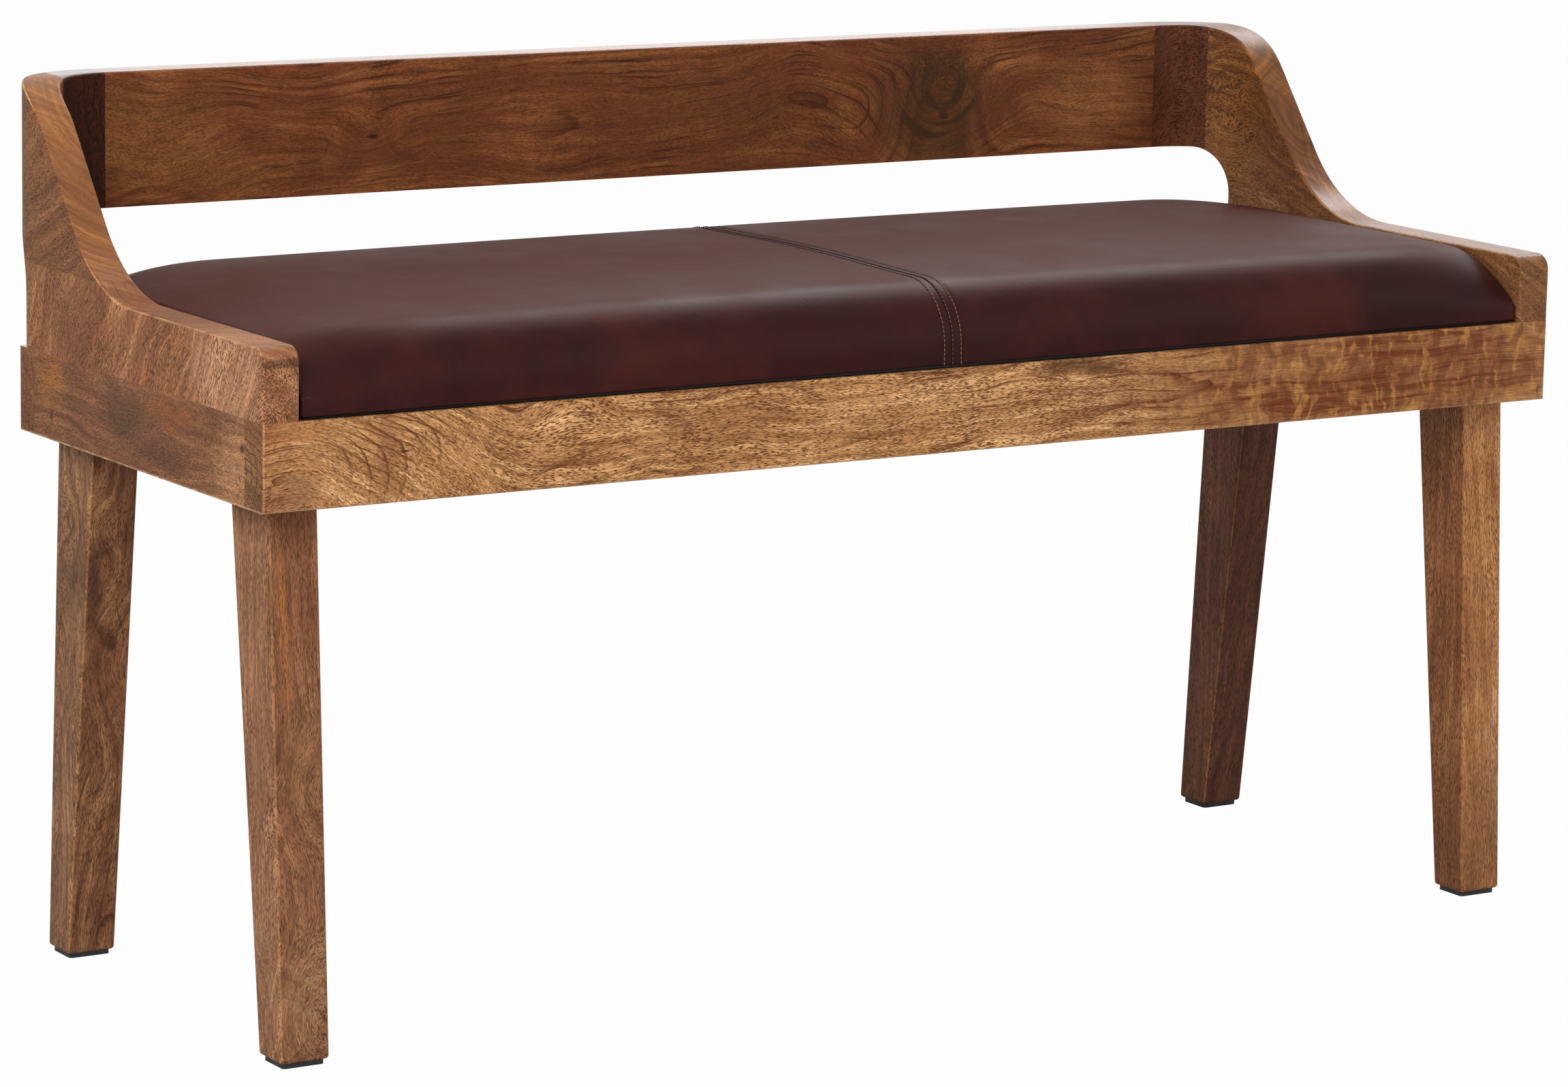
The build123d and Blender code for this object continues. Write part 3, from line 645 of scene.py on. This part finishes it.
def clothResult(piece, free, look):
    # where the hide's points end up under pressure, held at its walls
    held = piece.vertex_groups.new(name="held")
    for vert, loose in zip(piece.data.vertices, free):
        held.add([vert.index], 1.0 if loose < 0.5 else 0.0, "REPLACE")
    cloth = piece.modifiers.new("cloth", "CLOTH")
    for name, value in hideCloth.items():
        setattr(cloth.settings, name, value)
    cloth.settings.effector_weights.gravity = 0
    cloth.collision_settings.use_self_collision = False
    cloth.collision_settings.use_collision = False
    for number in range(1, look["frames"] + 1):
        scene.frame_set(number)
    posed = piece.evaluated_get(bpy.context.evaluated_depsgraph_get())
    result = [vert.co.copy() for vert in posed.data.vertices]
    piece.modifiers.remove(cloth)
    piece.vertex_groups.clear()
    scene.frame_set(1)
    return result


def blowUp(piece, look):
    # cloth under pressure, whose rise is brought down to the cap of a tight hide
    mesh = piece.data
    start = [vert.co.copy() for vert in mesh.vertices]
    normals = [vert.normal.copy() for vert in mesh.vertices]
    free = [clampShare((vert.co.z - padLow.z) / look["wallHeight"] - look["pinned"]) for vert in mesh.vertices]
    for vert, normal, loose in zip(mesh.vertices, normals, free):
        vert.co -= normal * look["swell"] * loose
    result = clothResult(piece, free, look)
    rises = [(new - old).dot(normal) for old, new, normal in zip(start, result, normals)]
    print("pad blown up: rise %.1f to %.1f mm" % (min(rises) / mm, max(rises) / mm))
    caps = [look["cap"] * (1 - look["endHold"] * abs(normal.x)) * loose for normal, loose in zip(normals, free)]
    most = sorted(rises)[int(len(rises) * look["common"])]
    rises = [cap * clampShare(rise / most) for cap, rise in zip(caps, rises)]
    neighbours = [[] for _ in mesh.vertices]
    for edge in mesh.edges:
        a, b = edge.vertices
        neighbours[a].append(b)
        neighbours[b].append(a)
    for _ in range(look["ironing"]):
        rises = [(rise + sum(rises[n] for n in near) / len(near)) / 2 for rise, near in zip(rises, neighbours)]
    for vert, old, normal, rise, cap in zip(mesh.vertices, start, normals, rises, caps):
        vert.co = old + normal * min(rise, cap)


def sewSeam(piece, look):
    # the hide is drawn down where its two halves meet
    moves = []
    for vert in piece.data.vertices:
        share = clampShare((vert.co.z - padLow.z) / look["seamFade"])
        close = (vert.co.x - look["seamPlace"] - look["seamWidth"]) / look["creaseWidth"]
        wide = (vert.co.x - look["seamPlace"]) / look["seamWidth"]
        depth = look["creaseShare"] * math.exp(-close * close) + (1 - look["creaseShare"]) * math.exp(-wide * wide)
        moves.append(vert.normal * look["seamDepth"] * depth * share)
    for vert, move in zip(piece.data.vertices, moves):
        vert.co -= move


padCover = padMesh("seatLeather", padLook)
blowUp(padCover, padLook)
sewSeam(padCover, padLook)
padForm = [(vert.co.copy(), vert.normal.copy()) for vert in padCover.data.vertices]
padCount = len(padSection(0.0, 0.0, padLook))
seamColumn = padLook["endSlices"] + padColumns(padLook).index(padLook["seamPlace"])
print("pad cover made:", len(padCover.data.polygons), "faces")


leatherLook = {
    "clouds": ((0.34, "#2d1413"), (0.5, "#351615"), (0.68, "#441c17")),
    "cloudScale": 11.0,
    # lighter, redder colour on the streaks and on faces that look up: partly wear, partly painted light on the top
    "wornColour": "#4b251a",
    "wornScale": (6.0, 40.0, 20.0),      # long streaks across the seat
    "wearAndTopLightStart": (0.85, 1.25),
    "wearAndTopLight": 0.8,
    "rubScale": (16.0, 330.0, 90.0),     # fine streaks along the flat top
    "rubShades": (0.84, 1.16),
    "grainSize": 1.4 * mm,
    "grainDepth": 0.22 * mm,
    "fineScale": 260.0,
    "creaseScale": (130.0, 25.0, 14.0),  # upright creases on the rolls
    "creaseDepth": 0.9 * mm,
    "gloss": (0.33, 0.45),
    "flatGloss": 0.14,                   # roughness that the sat-on top has gained
    "sheen": 0.08,
}


def makeLeather(look):
    # aniline leather, oxblood, waxed: soft gloss; lighter and redder on rubbed streaks and on faces that look up,
    # partly wear and partly painted top light; greyer on the sat-on top
    material, tree = newMaterial("waxedOxbloodLeather")
    place = add(tree, "TexCoord", out="Object")
    up = add(tree, "SeparateXYZ", add(tree, "NewGeometry", out="Normal"), out="Z")
    flat = add(tree, "MapRange SMOOTHSTEP", up, 0.8, 1.0)
    clouds = add(tree, "TexNoise", place, look["cloudScale"], 4.0, 0.6)
    streaks = add(tree, "TexNoise", add(tree, "VectorMath MULTIPLY", place, look["wornScale"]), 1.0, 5.0, 0.6)
    # this mask rises with the face's upward tilt: partly wear, partly painted top light
    wearAndTopLight = add(tree, "Math MULTIPLY_ADD", streaks, 0.35, up)
    wearAndTopLight = add(tree, "MapRange SMOOTHSTEP", wearAndTopLight, *look["wearAndTopLightStart"], 0.0, look["wearAndTopLight"])
    base = add(tree, "ValToRGB", clouds, stops=look["clouds"])
    base = add(tree, "Mix RGBA", wearAndTopLight, base, colour(look["wornColour"]))
    rubbed = add(tree, "TexNoise 4D", add(tree, "VectorMath MULTIPLY", place, look["rubScale"]), 2.0, 1.0, 4.0, 0.7)
    shade = add(tree, "MapRange", rubbed, 0.3, 0.7, *look["rubShades"])
    shade = add(tree, "Mix RGBA", flat, (1.0, 1.0, 1.0, 1.0), shade)
    base = add(tree, "Mix RGBA", 1.0, base, shade, blend_type="MULTIPLY")

    grain = add(tree, "TexVoronoi DISTANCE_TO_EDGE", place, 1 / look["grainSize"])
    fine = add(tree, "TexNoise", place, look["fineScale"], 4.0)
    height = add(tree, "Math MULTIPLY_ADD", grain, 0.7, fine)
    relief = add(tree, "Bump", named={"Height": height, "Strength": 0.5, "Distance": look["grainDepth"]})
    creases = add(tree, "TexNoise 4D", add(tree, "VectorMath MULTIPLY", place, look["creaseScale"]), 4.0, 1.0, 2.0)
    creases = add(tree, "Math MULTIPLY", creases, add(tree, "MapRange SMOOTHSTEP", up, 0.9, 0.3))
    creases = add(tree, "Math MULTIPLY_ADD", add(tree, "Math MULTIPLY", rubbed, flat), 0.35, creases)
    gloss = add(tree, "MapRange", clouds, 0.3, 0.7, *look["gloss"])
    creased = {"Height": creases, "Strength": 0.55, "Distance": look["creaseDepth"], "Normal": relief}
    level = add(tree, "MapRange SMOOTHSTEP", up, 0.93, 1.0)
    finishMaterial(tree, {
        "Base Color": base,
        "Roughness": add(tree, "Math MULTIPLY_ADD", level, look["flatGloss"], gloss),
        "IOR": 1.48,
        "Specular IOR Level": look["sheen"],
        "Normal": add(tree, "Bump", named=creased),
    })
    return material


leather = makeLeather(leatherLook)


def finishCover(look):
    # parts the cover at its seam, opens it below like a turned-under hide, and gives it its thickness
    inner = look["turnUnder"]
    for side, node, name in ((-1, "seat_leather_left", "seatLeatherLeft"),
                             (1, "seat_leather_right", "seatLeatherRight")):
        bm = bmesh.new()
        bm.from_mesh(padCover.data)
        unwanted = []
        for face in bm.faces:
            x, y, z = face.calc_center_median()
            hidden = face.normal.z < -0.9 and padLow.y + inner < y < padHigh.y - inner and abs(x) < padHigh.x - inner
            if hidden or (x - look["seamPlace"]) * side < 0:
                unwanted.append(face)
        bmesh.ops.delete(bm, geom=unwanted, context="FACES")
        half = addPiece(name, closeMesh(bm, node), leather)
        thicken = half.modifiers.new("thickness", "SOLIDIFY")
        thicken.thickness = look["leather"]
        thicken.offset = -1
        subdivide(half)
        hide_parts(node)
        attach(half, "root")


finishCover(padLook)
print("leather cover parted and thickened")


foamLook = {
    "cell": 1.2 * mm,
    "colours": ((0.1, "#c9b98a"), (0.6, "#e6dab4")),
    "depth": 0.3 * mm,           # of the open pores
    "play": 0.3 * mm,            # between foam and hide
    "weld": 0.01 * mm,
}


def makeFoam(look):
    # upholstery foam, cut from a block: open pores, matt and slightly yellow
    material, tree = newMaterial("cutSeatFoam")
    pores = add(tree, "TexVoronoi", add(tree, "TexCoord", out="Object"), 1 / look["cell"])
    finishMaterial(tree, {
        "Base Color": add(tree, "ValToRGB", pores, stops=look["colours"]),
        "Roughness": 0.95,
        "Normal": add(tree, "Bump", named={"Height": pores, "Strength": 0.4, "Distance": look["depth"]}),
    })
    return material


def makeFoamPiece(look):
    # the foam fills the cover, down to the seat board
    piece = padCover
    piece.name = "seatFoam"
    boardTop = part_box("seat_board")[1].z
    moves = [vert.normal * (padLook["leather"] + look["play"]) for vert in piece.data.vertices]
    for vert, move in zip(piece.data.vertices, moves):
        vert.co -= move
        vert.co.z = max(vert.co.z, boardTop)
    bm = bmesh.new()
    bm.from_mesh(piece.data)
    bmesh.ops.remove_doubles(bm, verts=bm.verts[:], dist=look["weld"])
    bm.to_mesh(piece.data)
    bm.free()
    piece.data.materials.append(makeFoam(look))
    subdivide(piece)
    return piece


foam = makeFoamPiece(foamLook)
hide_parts("seat_foam")
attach(foam, "root")
print("foam made")


# Stitches: one row down the seam and one on each side of it, laid out by a Geometry Nodes tree

stitchLook = {
    "rows": (-4, 0, 4),          # columns of the pad mesh, counted from the seam
    "pitch": 3.6 * mm,
    "length": 2.9 * mm,
    "thread": 1.0 * mm,
    "sides": 6,
    "profile": ((-0.5, 0.35), (-0.36, 0.85), (0.0, 1.0), (0.36, 0.85), (0.5, 0.35)),   # place, thickness
    "lift": 0.3 * mm,            # of the thread's middle above the leather
    "seed": 3,
    "sway": 0.12,                # radians that single stitches turn from the row
    "colours": ((0.2, "#6c4a33"), (0.6, "#4c3023"), (1.0, "#170c0a")),
    "paintedThreadShade": (28 * mm, 60 * mm),    # from the front edge, where the painted shade over the top starts and is full
    "middleRow": (5 * mm, 3 * mm),   # off the seam, where the extra painted shade of the middle row, which lies in the seam's valley, ends and is full
}


def makeThread(look):
    # waxed polyester thread: tan where it shows on the roll, darkened by painted shade on the top and on the middle
    # row
    material, tree = newMaterial("waxedTanThread")
    place = add(tree, "TexCoord", out="Object")
    across, depth = add(tree, "SeparateXYZ", place).node.outputs[:2]
    paintedThreadShade = add(tree, "MapRange", depth, *(padLow.y + edge for edge in look["paintedThreadShade"]))
    paintedThreadShade = add(tree, "Math MULTIPLY_ADD", add(tree, "TexNoise", place, 400.0, 2.0), 0.5, paintedThreadShade)
    away = add(tree, "Math ABSOLUTE", add(tree, "Math SUBTRACT", across, padLook["seamPlace"]))
    paintedThreadShade = add(tree, "Math ADD", paintedThreadShade, add(tree, "MapRange SMOOTHSTEP", away, *look["middleRow"], 0.0, 0.4))
    finishMaterial(tree, {"Base Color": add(tree, "ValToRGB", paintedThreadShade, stops=look["colours"]), "Roughness": 0.6})
    return material


def makeStitch(look):
    # one stitch: a short thread with tucked-in ends
    bm = bmesh.new()
    sides = look["sides"]
    rings = []
    for share, thick in look["profile"]:
        ring = []
        for k in range(sides):
            angle = k / sides * 2 * math.pi
            radius = look["thread"] / 2 * thick
            ring.append(bm.verts.new((radius * math.cos(angle), radius * math.sin(angle), share * look["length"])))
        rings.append(ring)
    for a, b in zip(rings, rings[1:]):
        for k in range(sides):
            after = (k + 1) % sides
            bm.faces.new((a[k], a[after], b[after], b[k]))
    bm.faces.new(rings[0][::-1])
    bm.faces.new(rings[-1])
    return addPiece("stitch", closeMesh(bm, "stitch"))


def makeStitchTree(material):
    # path -> evenly spaced points -> stitches turned along the path, each swayed a little
    tree = bpy.data.node_groups.new("stitchRow", "GeometryNodeTree")
    for name, kind in (("Path", "Geometry"), ("Stitch", "Object"), ("Pitch", "Float"), ("Sway", "Float"),
                       ("Seed", "Int")):
        tree.interface.new_socket(name, in_out="INPUT", socket_type="NodeSocket" + kind)
    tree.interface.new_socket("Stitches", in_out="OUTPUT", socket_type="NodeSocketGeometry")
    given = add(tree, "NodeGroupInput").node.outputs
    curve = add(tree, "GeometryNodeMeshToCurve", given["Path"])
    spaced = add(tree, "GeometryNodeResampleCurve", curve, named={"Length": given["Pitch"]}, mode="LENGTH")
    along = add(tree, "GeometryNodeInputTangent")
    turn = add(tree, "FunctionNodeAlignRotationToVector", named={"Vector": along}, axis="Z")
    most = given["Sway"]
    least = add(tree, "Math MULTIPLY", most, -1.0)
    lowest, highest = (add(tree, "CombineXYZ", end, end, 0.0) for end in (least, most))
    sway = add(tree, "FunctionNodeRandomValue FLOAT_VECTOR", lowest, highest, named={"Seed": given["Seed"]})
    sway = add(tree, "FunctionNodeEulerToRotation", sway)
    turn = add(tree, "FunctionNodeRotateRotation", turn, sway, rotation_space="LOCAL")
    stitch = add(tree, "GeometryNodeObjectInfo", given["Stitch"], out="Geometry")
    placed = add(tree, "GeometryNodeInstanceOnPoints", spaced, named={"Instance": stitch, "Rotation": turn})
    real = add(tree, "GeometryNodeRealizeInstances", placed)
    dressed = add(tree, "GeometryNodeSetMaterial", real, named={"Material": material})
    add(tree, "NodeGroupOutput", dressed)
    return tree


def setInputs(modifier, values):
    # sets a modifier's inputs by their names
    for item in modifier.node_group.interface.items_tree:
        if item.item_type == "SOCKET" and item.in_out == "INPUT" and item.name in values:
            modifier[item.identifier] = values[item.name]


def sewRows(look):
    # the paths follow columns of the finished cover
    material = makeThread(look)
    points, edges = [], []
    for row in look["rows"]:
        first = seamColumn + row
        form = [padForm[first * padCount + k] for k in range(1, padCount - 1)]
        line = [place + normal * look["lift"] for place, normal in form]
        points += line
        edges += [(k, k + 1) for k in range(len(points) - len(line), len(points) - 1)]
    mesh = bpy.data.meshes.new("stitchPaths")
    mesh.from_pydata(points, edges, [])
    path = addPiece("stitchPaths", mesh)
    stitch = makeStitch(look)
    stitch.data.materials.append(material)
    rows = path.modifiers.new("stitches", "NODES")
    rows.node_group = makeStitchTree(material)
    setInputs(rows, {"Stitch": stitch, "Pitch": look["pitch"], "Sway": look["sway"], "Seed": look["seed"]})
    sewn = bpy.data.meshes.new_from_object(path.evaluated_get(bpy.context.evaluated_depsgraph_get()))
    bpy.data.objects.remove(path)
    bpy.data.objects.remove(stitch)
    sewn.name = "seatStitches"
    return addPiece("seatStitches", sewn)


stitches = sewRows(stitchLook)
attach(stitches, "root")
print("stitches made:", len(stitches.data.polygons), "faces")


# Plain finishes for what is hidden or small

finishes = {
    "zincPlatedSteel": {         # cool grey, slightly cloudy
        "tones": ("#8f9499", "#b9bdc2"), "rough": 0.36, "metal": 1.0, "grit": 3.0, "depth": 0.03,
        "nodes": ("leg_bolts", "leg_washers", "seat_screws"),
    },
    "turnedBrass": {             # warm and bright
        "tones": ("#a8843f", "#c9a557"), "rough": 0.3, "metal": 1.0, "grit": 2.0, "depth": 0.02,
        "nodes": ("leg_inserts",),
    },
    "mouldedBlackPlastic": {     # polypropylene, faintly pebbled
        "tones": ("#0f0f10", "#1c1b1c"), "rough": 0.5, "metal": 0.0, "grit": 0.8, "depth": 0.05,
        "nodes": [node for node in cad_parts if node.endswith("foot_pad")],
    },
    "beechDowel": {              # rod, pale and planed
        "tones": ("#c79b6b", "#dab488"), "rough": 0.6, "metal": 0.0, "grit": 4.0, "depth": 0.03,
        "nodes": ("rail_dowels", "arm_dowels", "wing_dowels", "corner_dowels", "back_dowels"),
    },
}


def makePlain(name, look):
    # two close tones mixed by a fine grit
    material, tree = newMaterial(name)
    speckle = add(tree, "TexNoise", add(tree, "TexCoord", out="Object"), 1 / (look["grit"] * mm), 4.0)
    finishMaterial(tree, {
        "Base Color": add(tree, "ValToRGB", speckle, stops=zip((0.3, 0.7), look["tones"])),
        "Roughness": add(tree, "MapRange", speckle, 0.3, 0.7, look["rough"] - 0.06, look["rough"] + 0.06),
        "Metallic": look["metal"],
        "Normal": add(tree, "Bump", named={"Height": speckle, "Strength": 0.3, "Distance": look["depth"] * mm}),
    })
    return material


for name, look in finishes.items():
    material = makePlain(name, look)
    for node in look["nodes"]:
        paint(node, material)
# birch plywood: pale face with long faint grain
plywood = {
    "grain": "x", "seed": 3.1, "colours": ("#b89468", "#cfae82", "#dfc39a"), "poreColour": "#a17d52", "pores": 0.25,
    "wear": 0.0, "gloss": 0.6, "ring": 12, "lines": 0.2,
}
paint("seat_board", makeWood("birchPlywood", "seat_board", plywood))
print("small parts painted")


# Lining under the pad, edged with a ribbed black cord

liningLook = {
    "cord": 1.35 * mm,           # radius of the cord
    "margin": 0.1 * mm,          # it stays this far inside the CAD edge
    "rib": 2.1 * mm,
    "ribSteps": 3,               # slices of the cord to a rib
    "relief": 0.22,              # depth of the ribs, as a share of the radius
    "corner": 6 * mm,
    "sides": 6,
    "edge": 0.8 * mm,            # bevel of the cloth
    "bond": 2 * mm,              # pitch of the dimples, and their depth
    "dimple": 0.15 * mm,
    "colours": ((0.15, "#090808"), (0.5, "#171515")),
}


def makeLiningCloth(look):
    # black polypropylene lining: matt, felted, with a dimpled bond pattern
    material, tree = newMaterial("blackLiningCloth")
    place = add(tree, "TexCoord", out="Object")
    dimples = add(tree, "TexVoronoi", place, 1 / look["bond"], named={"Randomness": 0.15})
    finishMaterial(tree, {
        "Base Color": add(tree, "ValToRGB", dimples, stops=look["colours"]),
        "Roughness": 0.7,
        "Specular IOR Level": 0.2,
        "Normal": add(tree, "Bump", named={"Height": dimples, "Strength": 0.5, "Distance": look["dimple"]}),
    })
    return material


def loopPlaces(middle, half, corner, step):
    # evenly spaced places, each with its way out, round a rectangle with rounded corners
    places = []
    for side in range(4):
        angle = side * math.pi / 2
        way = Vector((math.cos(angle), math.sin(angle), 0))
        out = Vector((math.sin(angle), -math.cos(angle), 0))
        along, away = (half.x, half.y) if side % 2 == 0 else (half.y, half.x)
        count = round(2 * (along - corner) / step)
        for k in range(count):
            places.append((middle + out * away + way * (along - corner) * (2 * k / count - 1), out))
        bends = round(corner * math.pi / 2 / step)
        centre = middle + out * (away - corner) + way * (along - corner)
        for k in range(bends):
            angle = k / bends * math.pi / 2
            heading = out * math.cos(angle) + way * math.sin(angle)
            places.append((centre + heading * corner, heading))
    return places


def addCord(bm, low, high, look):
    # a tube round the lining whose ribs wind along it
    middle, half = (low + high) / 2, (high - low) / 2
    inset = look["cord"] + look["margin"]
    middle.z = low.z + look["cord"] + look["margin"]
    half = Vector((half.x - inset, half.y - inset, 0))
    places = loopPlaces(middle, half, look["corner"], look["rib"] / look["ribSteps"])
    ribs = round(len(places) / look["ribSteps"])
    rings = []
    for k, (place, out) in enumerate(places):
        ring = []
        for j in range(look["sides"]):
            angle = j / look["sides"] * math.tau
            wave = math.cos(k / len(places) * ribs * math.tau + angle)
            thick = look["cord"] * (1 - look["relief"] * (1 - wave) / 2)
            rise = Vector((0, 0, thick * math.sin(angle)))
            ring.append(bm.verts.new(place + out * thick * math.cos(angle) + rise))
        rings.append(ring)
    for a, b in zip(rings, rings[1:] + rings[:1]):
        for j in range(look["sides"]):
            after = (j + 1) % look["sides"]
            bm.faces.new((a[j], b[j], b[after], a[after]))


def makeLining(look):
    # thin slab of cloth inside its cord
    low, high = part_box("seat_dust_cover")
    inset = Vector((look["cord"], look["cord"], 0))
    bm = bmesh.new()
    bmesh.ops.create_cube(bm, size=1.0)
    for vert in bm.verts:
        vert.co = Vector(tuple(h if c > 0 else l for c, l, h in zip(vert.co, low + inset, high - inset)))
    bmesh.ops.bevel(bm, geom=bm.edges[:], offset=look["edge"], segments=2, affect="EDGES")
    addCord(bm, low, high, look)
    bmesh.ops.recalc_face_normals(bm, faces=bm.faces)
    return addPiece("seatLining", closeMesh(bm, "seatLining", smooth=False), makeLiningCloth(look))


lining = makeLining(liningLook)
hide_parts("seat_dust_cover")
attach(lining, "root")
print("lining made")


# Floor, light and camera

stageLook = {
    "reach": 30.0,               # of the floor to each side
    "floor": "#e8e8e8",
    "floorGlow": 0.97,           # share of plain white in what the camera sees of it
    "sky": 0.42,                 # strength of the even light
    "aim": (0, 0, 0.45),         # of the lamps
}


def makeFloor(look):
    # pale floor that keeps the bench's shadow and otherwise looks white to the camera
    mesh = bpy.data.meshes.new("floor")
    reach = look["reach"]
    corners = [(-reach, -reach, 0), (reach, -reach, 0), (reach, reach, 0), (-reach, reach, 0)]
    mesh.from_pydata(corners, [], [(0, 1, 2, 3)])
    material, tree = newMaterial("paleFloor")
    diffuse = add(tree, "BsdfDiffuse", colour(look["floor"]))
    glow = add(tree, "Emission", (1, 1, 1, 1), 1.0)
    ray = add(tree, "LightPath", out="Is Camera Ray")
    amount = add(tree, "Math MULTIPLY", ray, look["floorGlow"])
    add(tree, "OutputMaterial", add(tree, "MixShader", amount, diffuse, glow))
    return addPiece("floor", mesh, material)


makeFloor(stageLook)

lights = {
    "keyLeft": {"place": (-2.9, -2.1, 2.6), "size": 2.0, "power": 106},
    "fillRight": {"place": (2.4, -3.2, 1.6), "size": 2.5, "power": 18},
    "topSoft": {"place": (1.6, 1.15, 2.6), "size": 1.5, "power": 27},
    "rimBack": {"place": (1.3, 2.8, 1.6), "size": 1.8, "power": 8},
}
for name, look in lights.items():
    lamp = bpy.data.lights.new(name, "AREA")
    lamp.energy = look["power"]
    lamp.size = look["size"]
    holder = bpy.data.objects.new(name, lamp)
    holder.location = look["place"]
    aim = Vector(stageLook["aim"]) - Vector(look["place"])
    holder.rotation_euler = aim.to_track_quat("-Z", "Y").to_euler()
    scene.collection.objects.link(holder)


def makeWorld(look):
    # soft even light, and plain white wherever the camera or a reflection looks past the bench
    world = bpy.data.worlds.new("paleStudio")
    scene.world = world
    tree = emptyTree(world)
    ray = add(tree, "LightPath").node.outputs
    seen = add(tree, "Math MAXIMUM", ray["Is Camera Ray"], ray["Is Glossy Ray"])
    seen = add(tree, "Math MAXIMUM", seen, ray["Is Transmission Ray"])
    strength = add(tree, "MapRange", seen, 0.0, 1.0, look["sky"], 1.0)
    add(tree, "OutputWorld", add(tree, "Background", (1, 1, 1, 1), strength))


makeWorld(stageLook)

cameraLook = {
    "target": (-17.7, -29.9, 317.7),     # millimetres
    "azimuth": -32.51,                   # degrees, from behind -Y towards -X
    "elevation": 10.71,
    "roll": 1.134,
    "distance": 4752.3,
    "lens": 134.2,
    "sensor": 36,
}


def makeCamera(look):
    # the photograph's view, worked out from the lines of the apron and the legs
    azimuth, elevation = math.radians(look["azimuth"]), math.radians(look["elevation"])
    back = Vector((math.sin(azimuth) * math.cos(elevation), -math.cos(azimuth) * math.cos(elevation),
                   math.sin(elevation)))
    lens = bpy.data.cameras.new("camera")
    lens.sensor_width = look["sensor"]
    lens.lens = look["lens"]
    camera = bpy.data.objects.new("camera", lens)
    camera.location = Vector(look["target"]) * mm + back * look["distance"] * mm
    camera.rotation_mode = "QUATERNION"
    roll = Quaternion((0, 0, 1), math.radians(look["roll"]))
    camera.rotation_quaternion = back.to_track_quat("Z", "Y") @ roll
    scene.collection.objects.link(camera)
    scene.camera = camera


makeCamera(cameraLook)
scene.view_settings.view_transform = "Standard"
print("stage, lights and camera set")
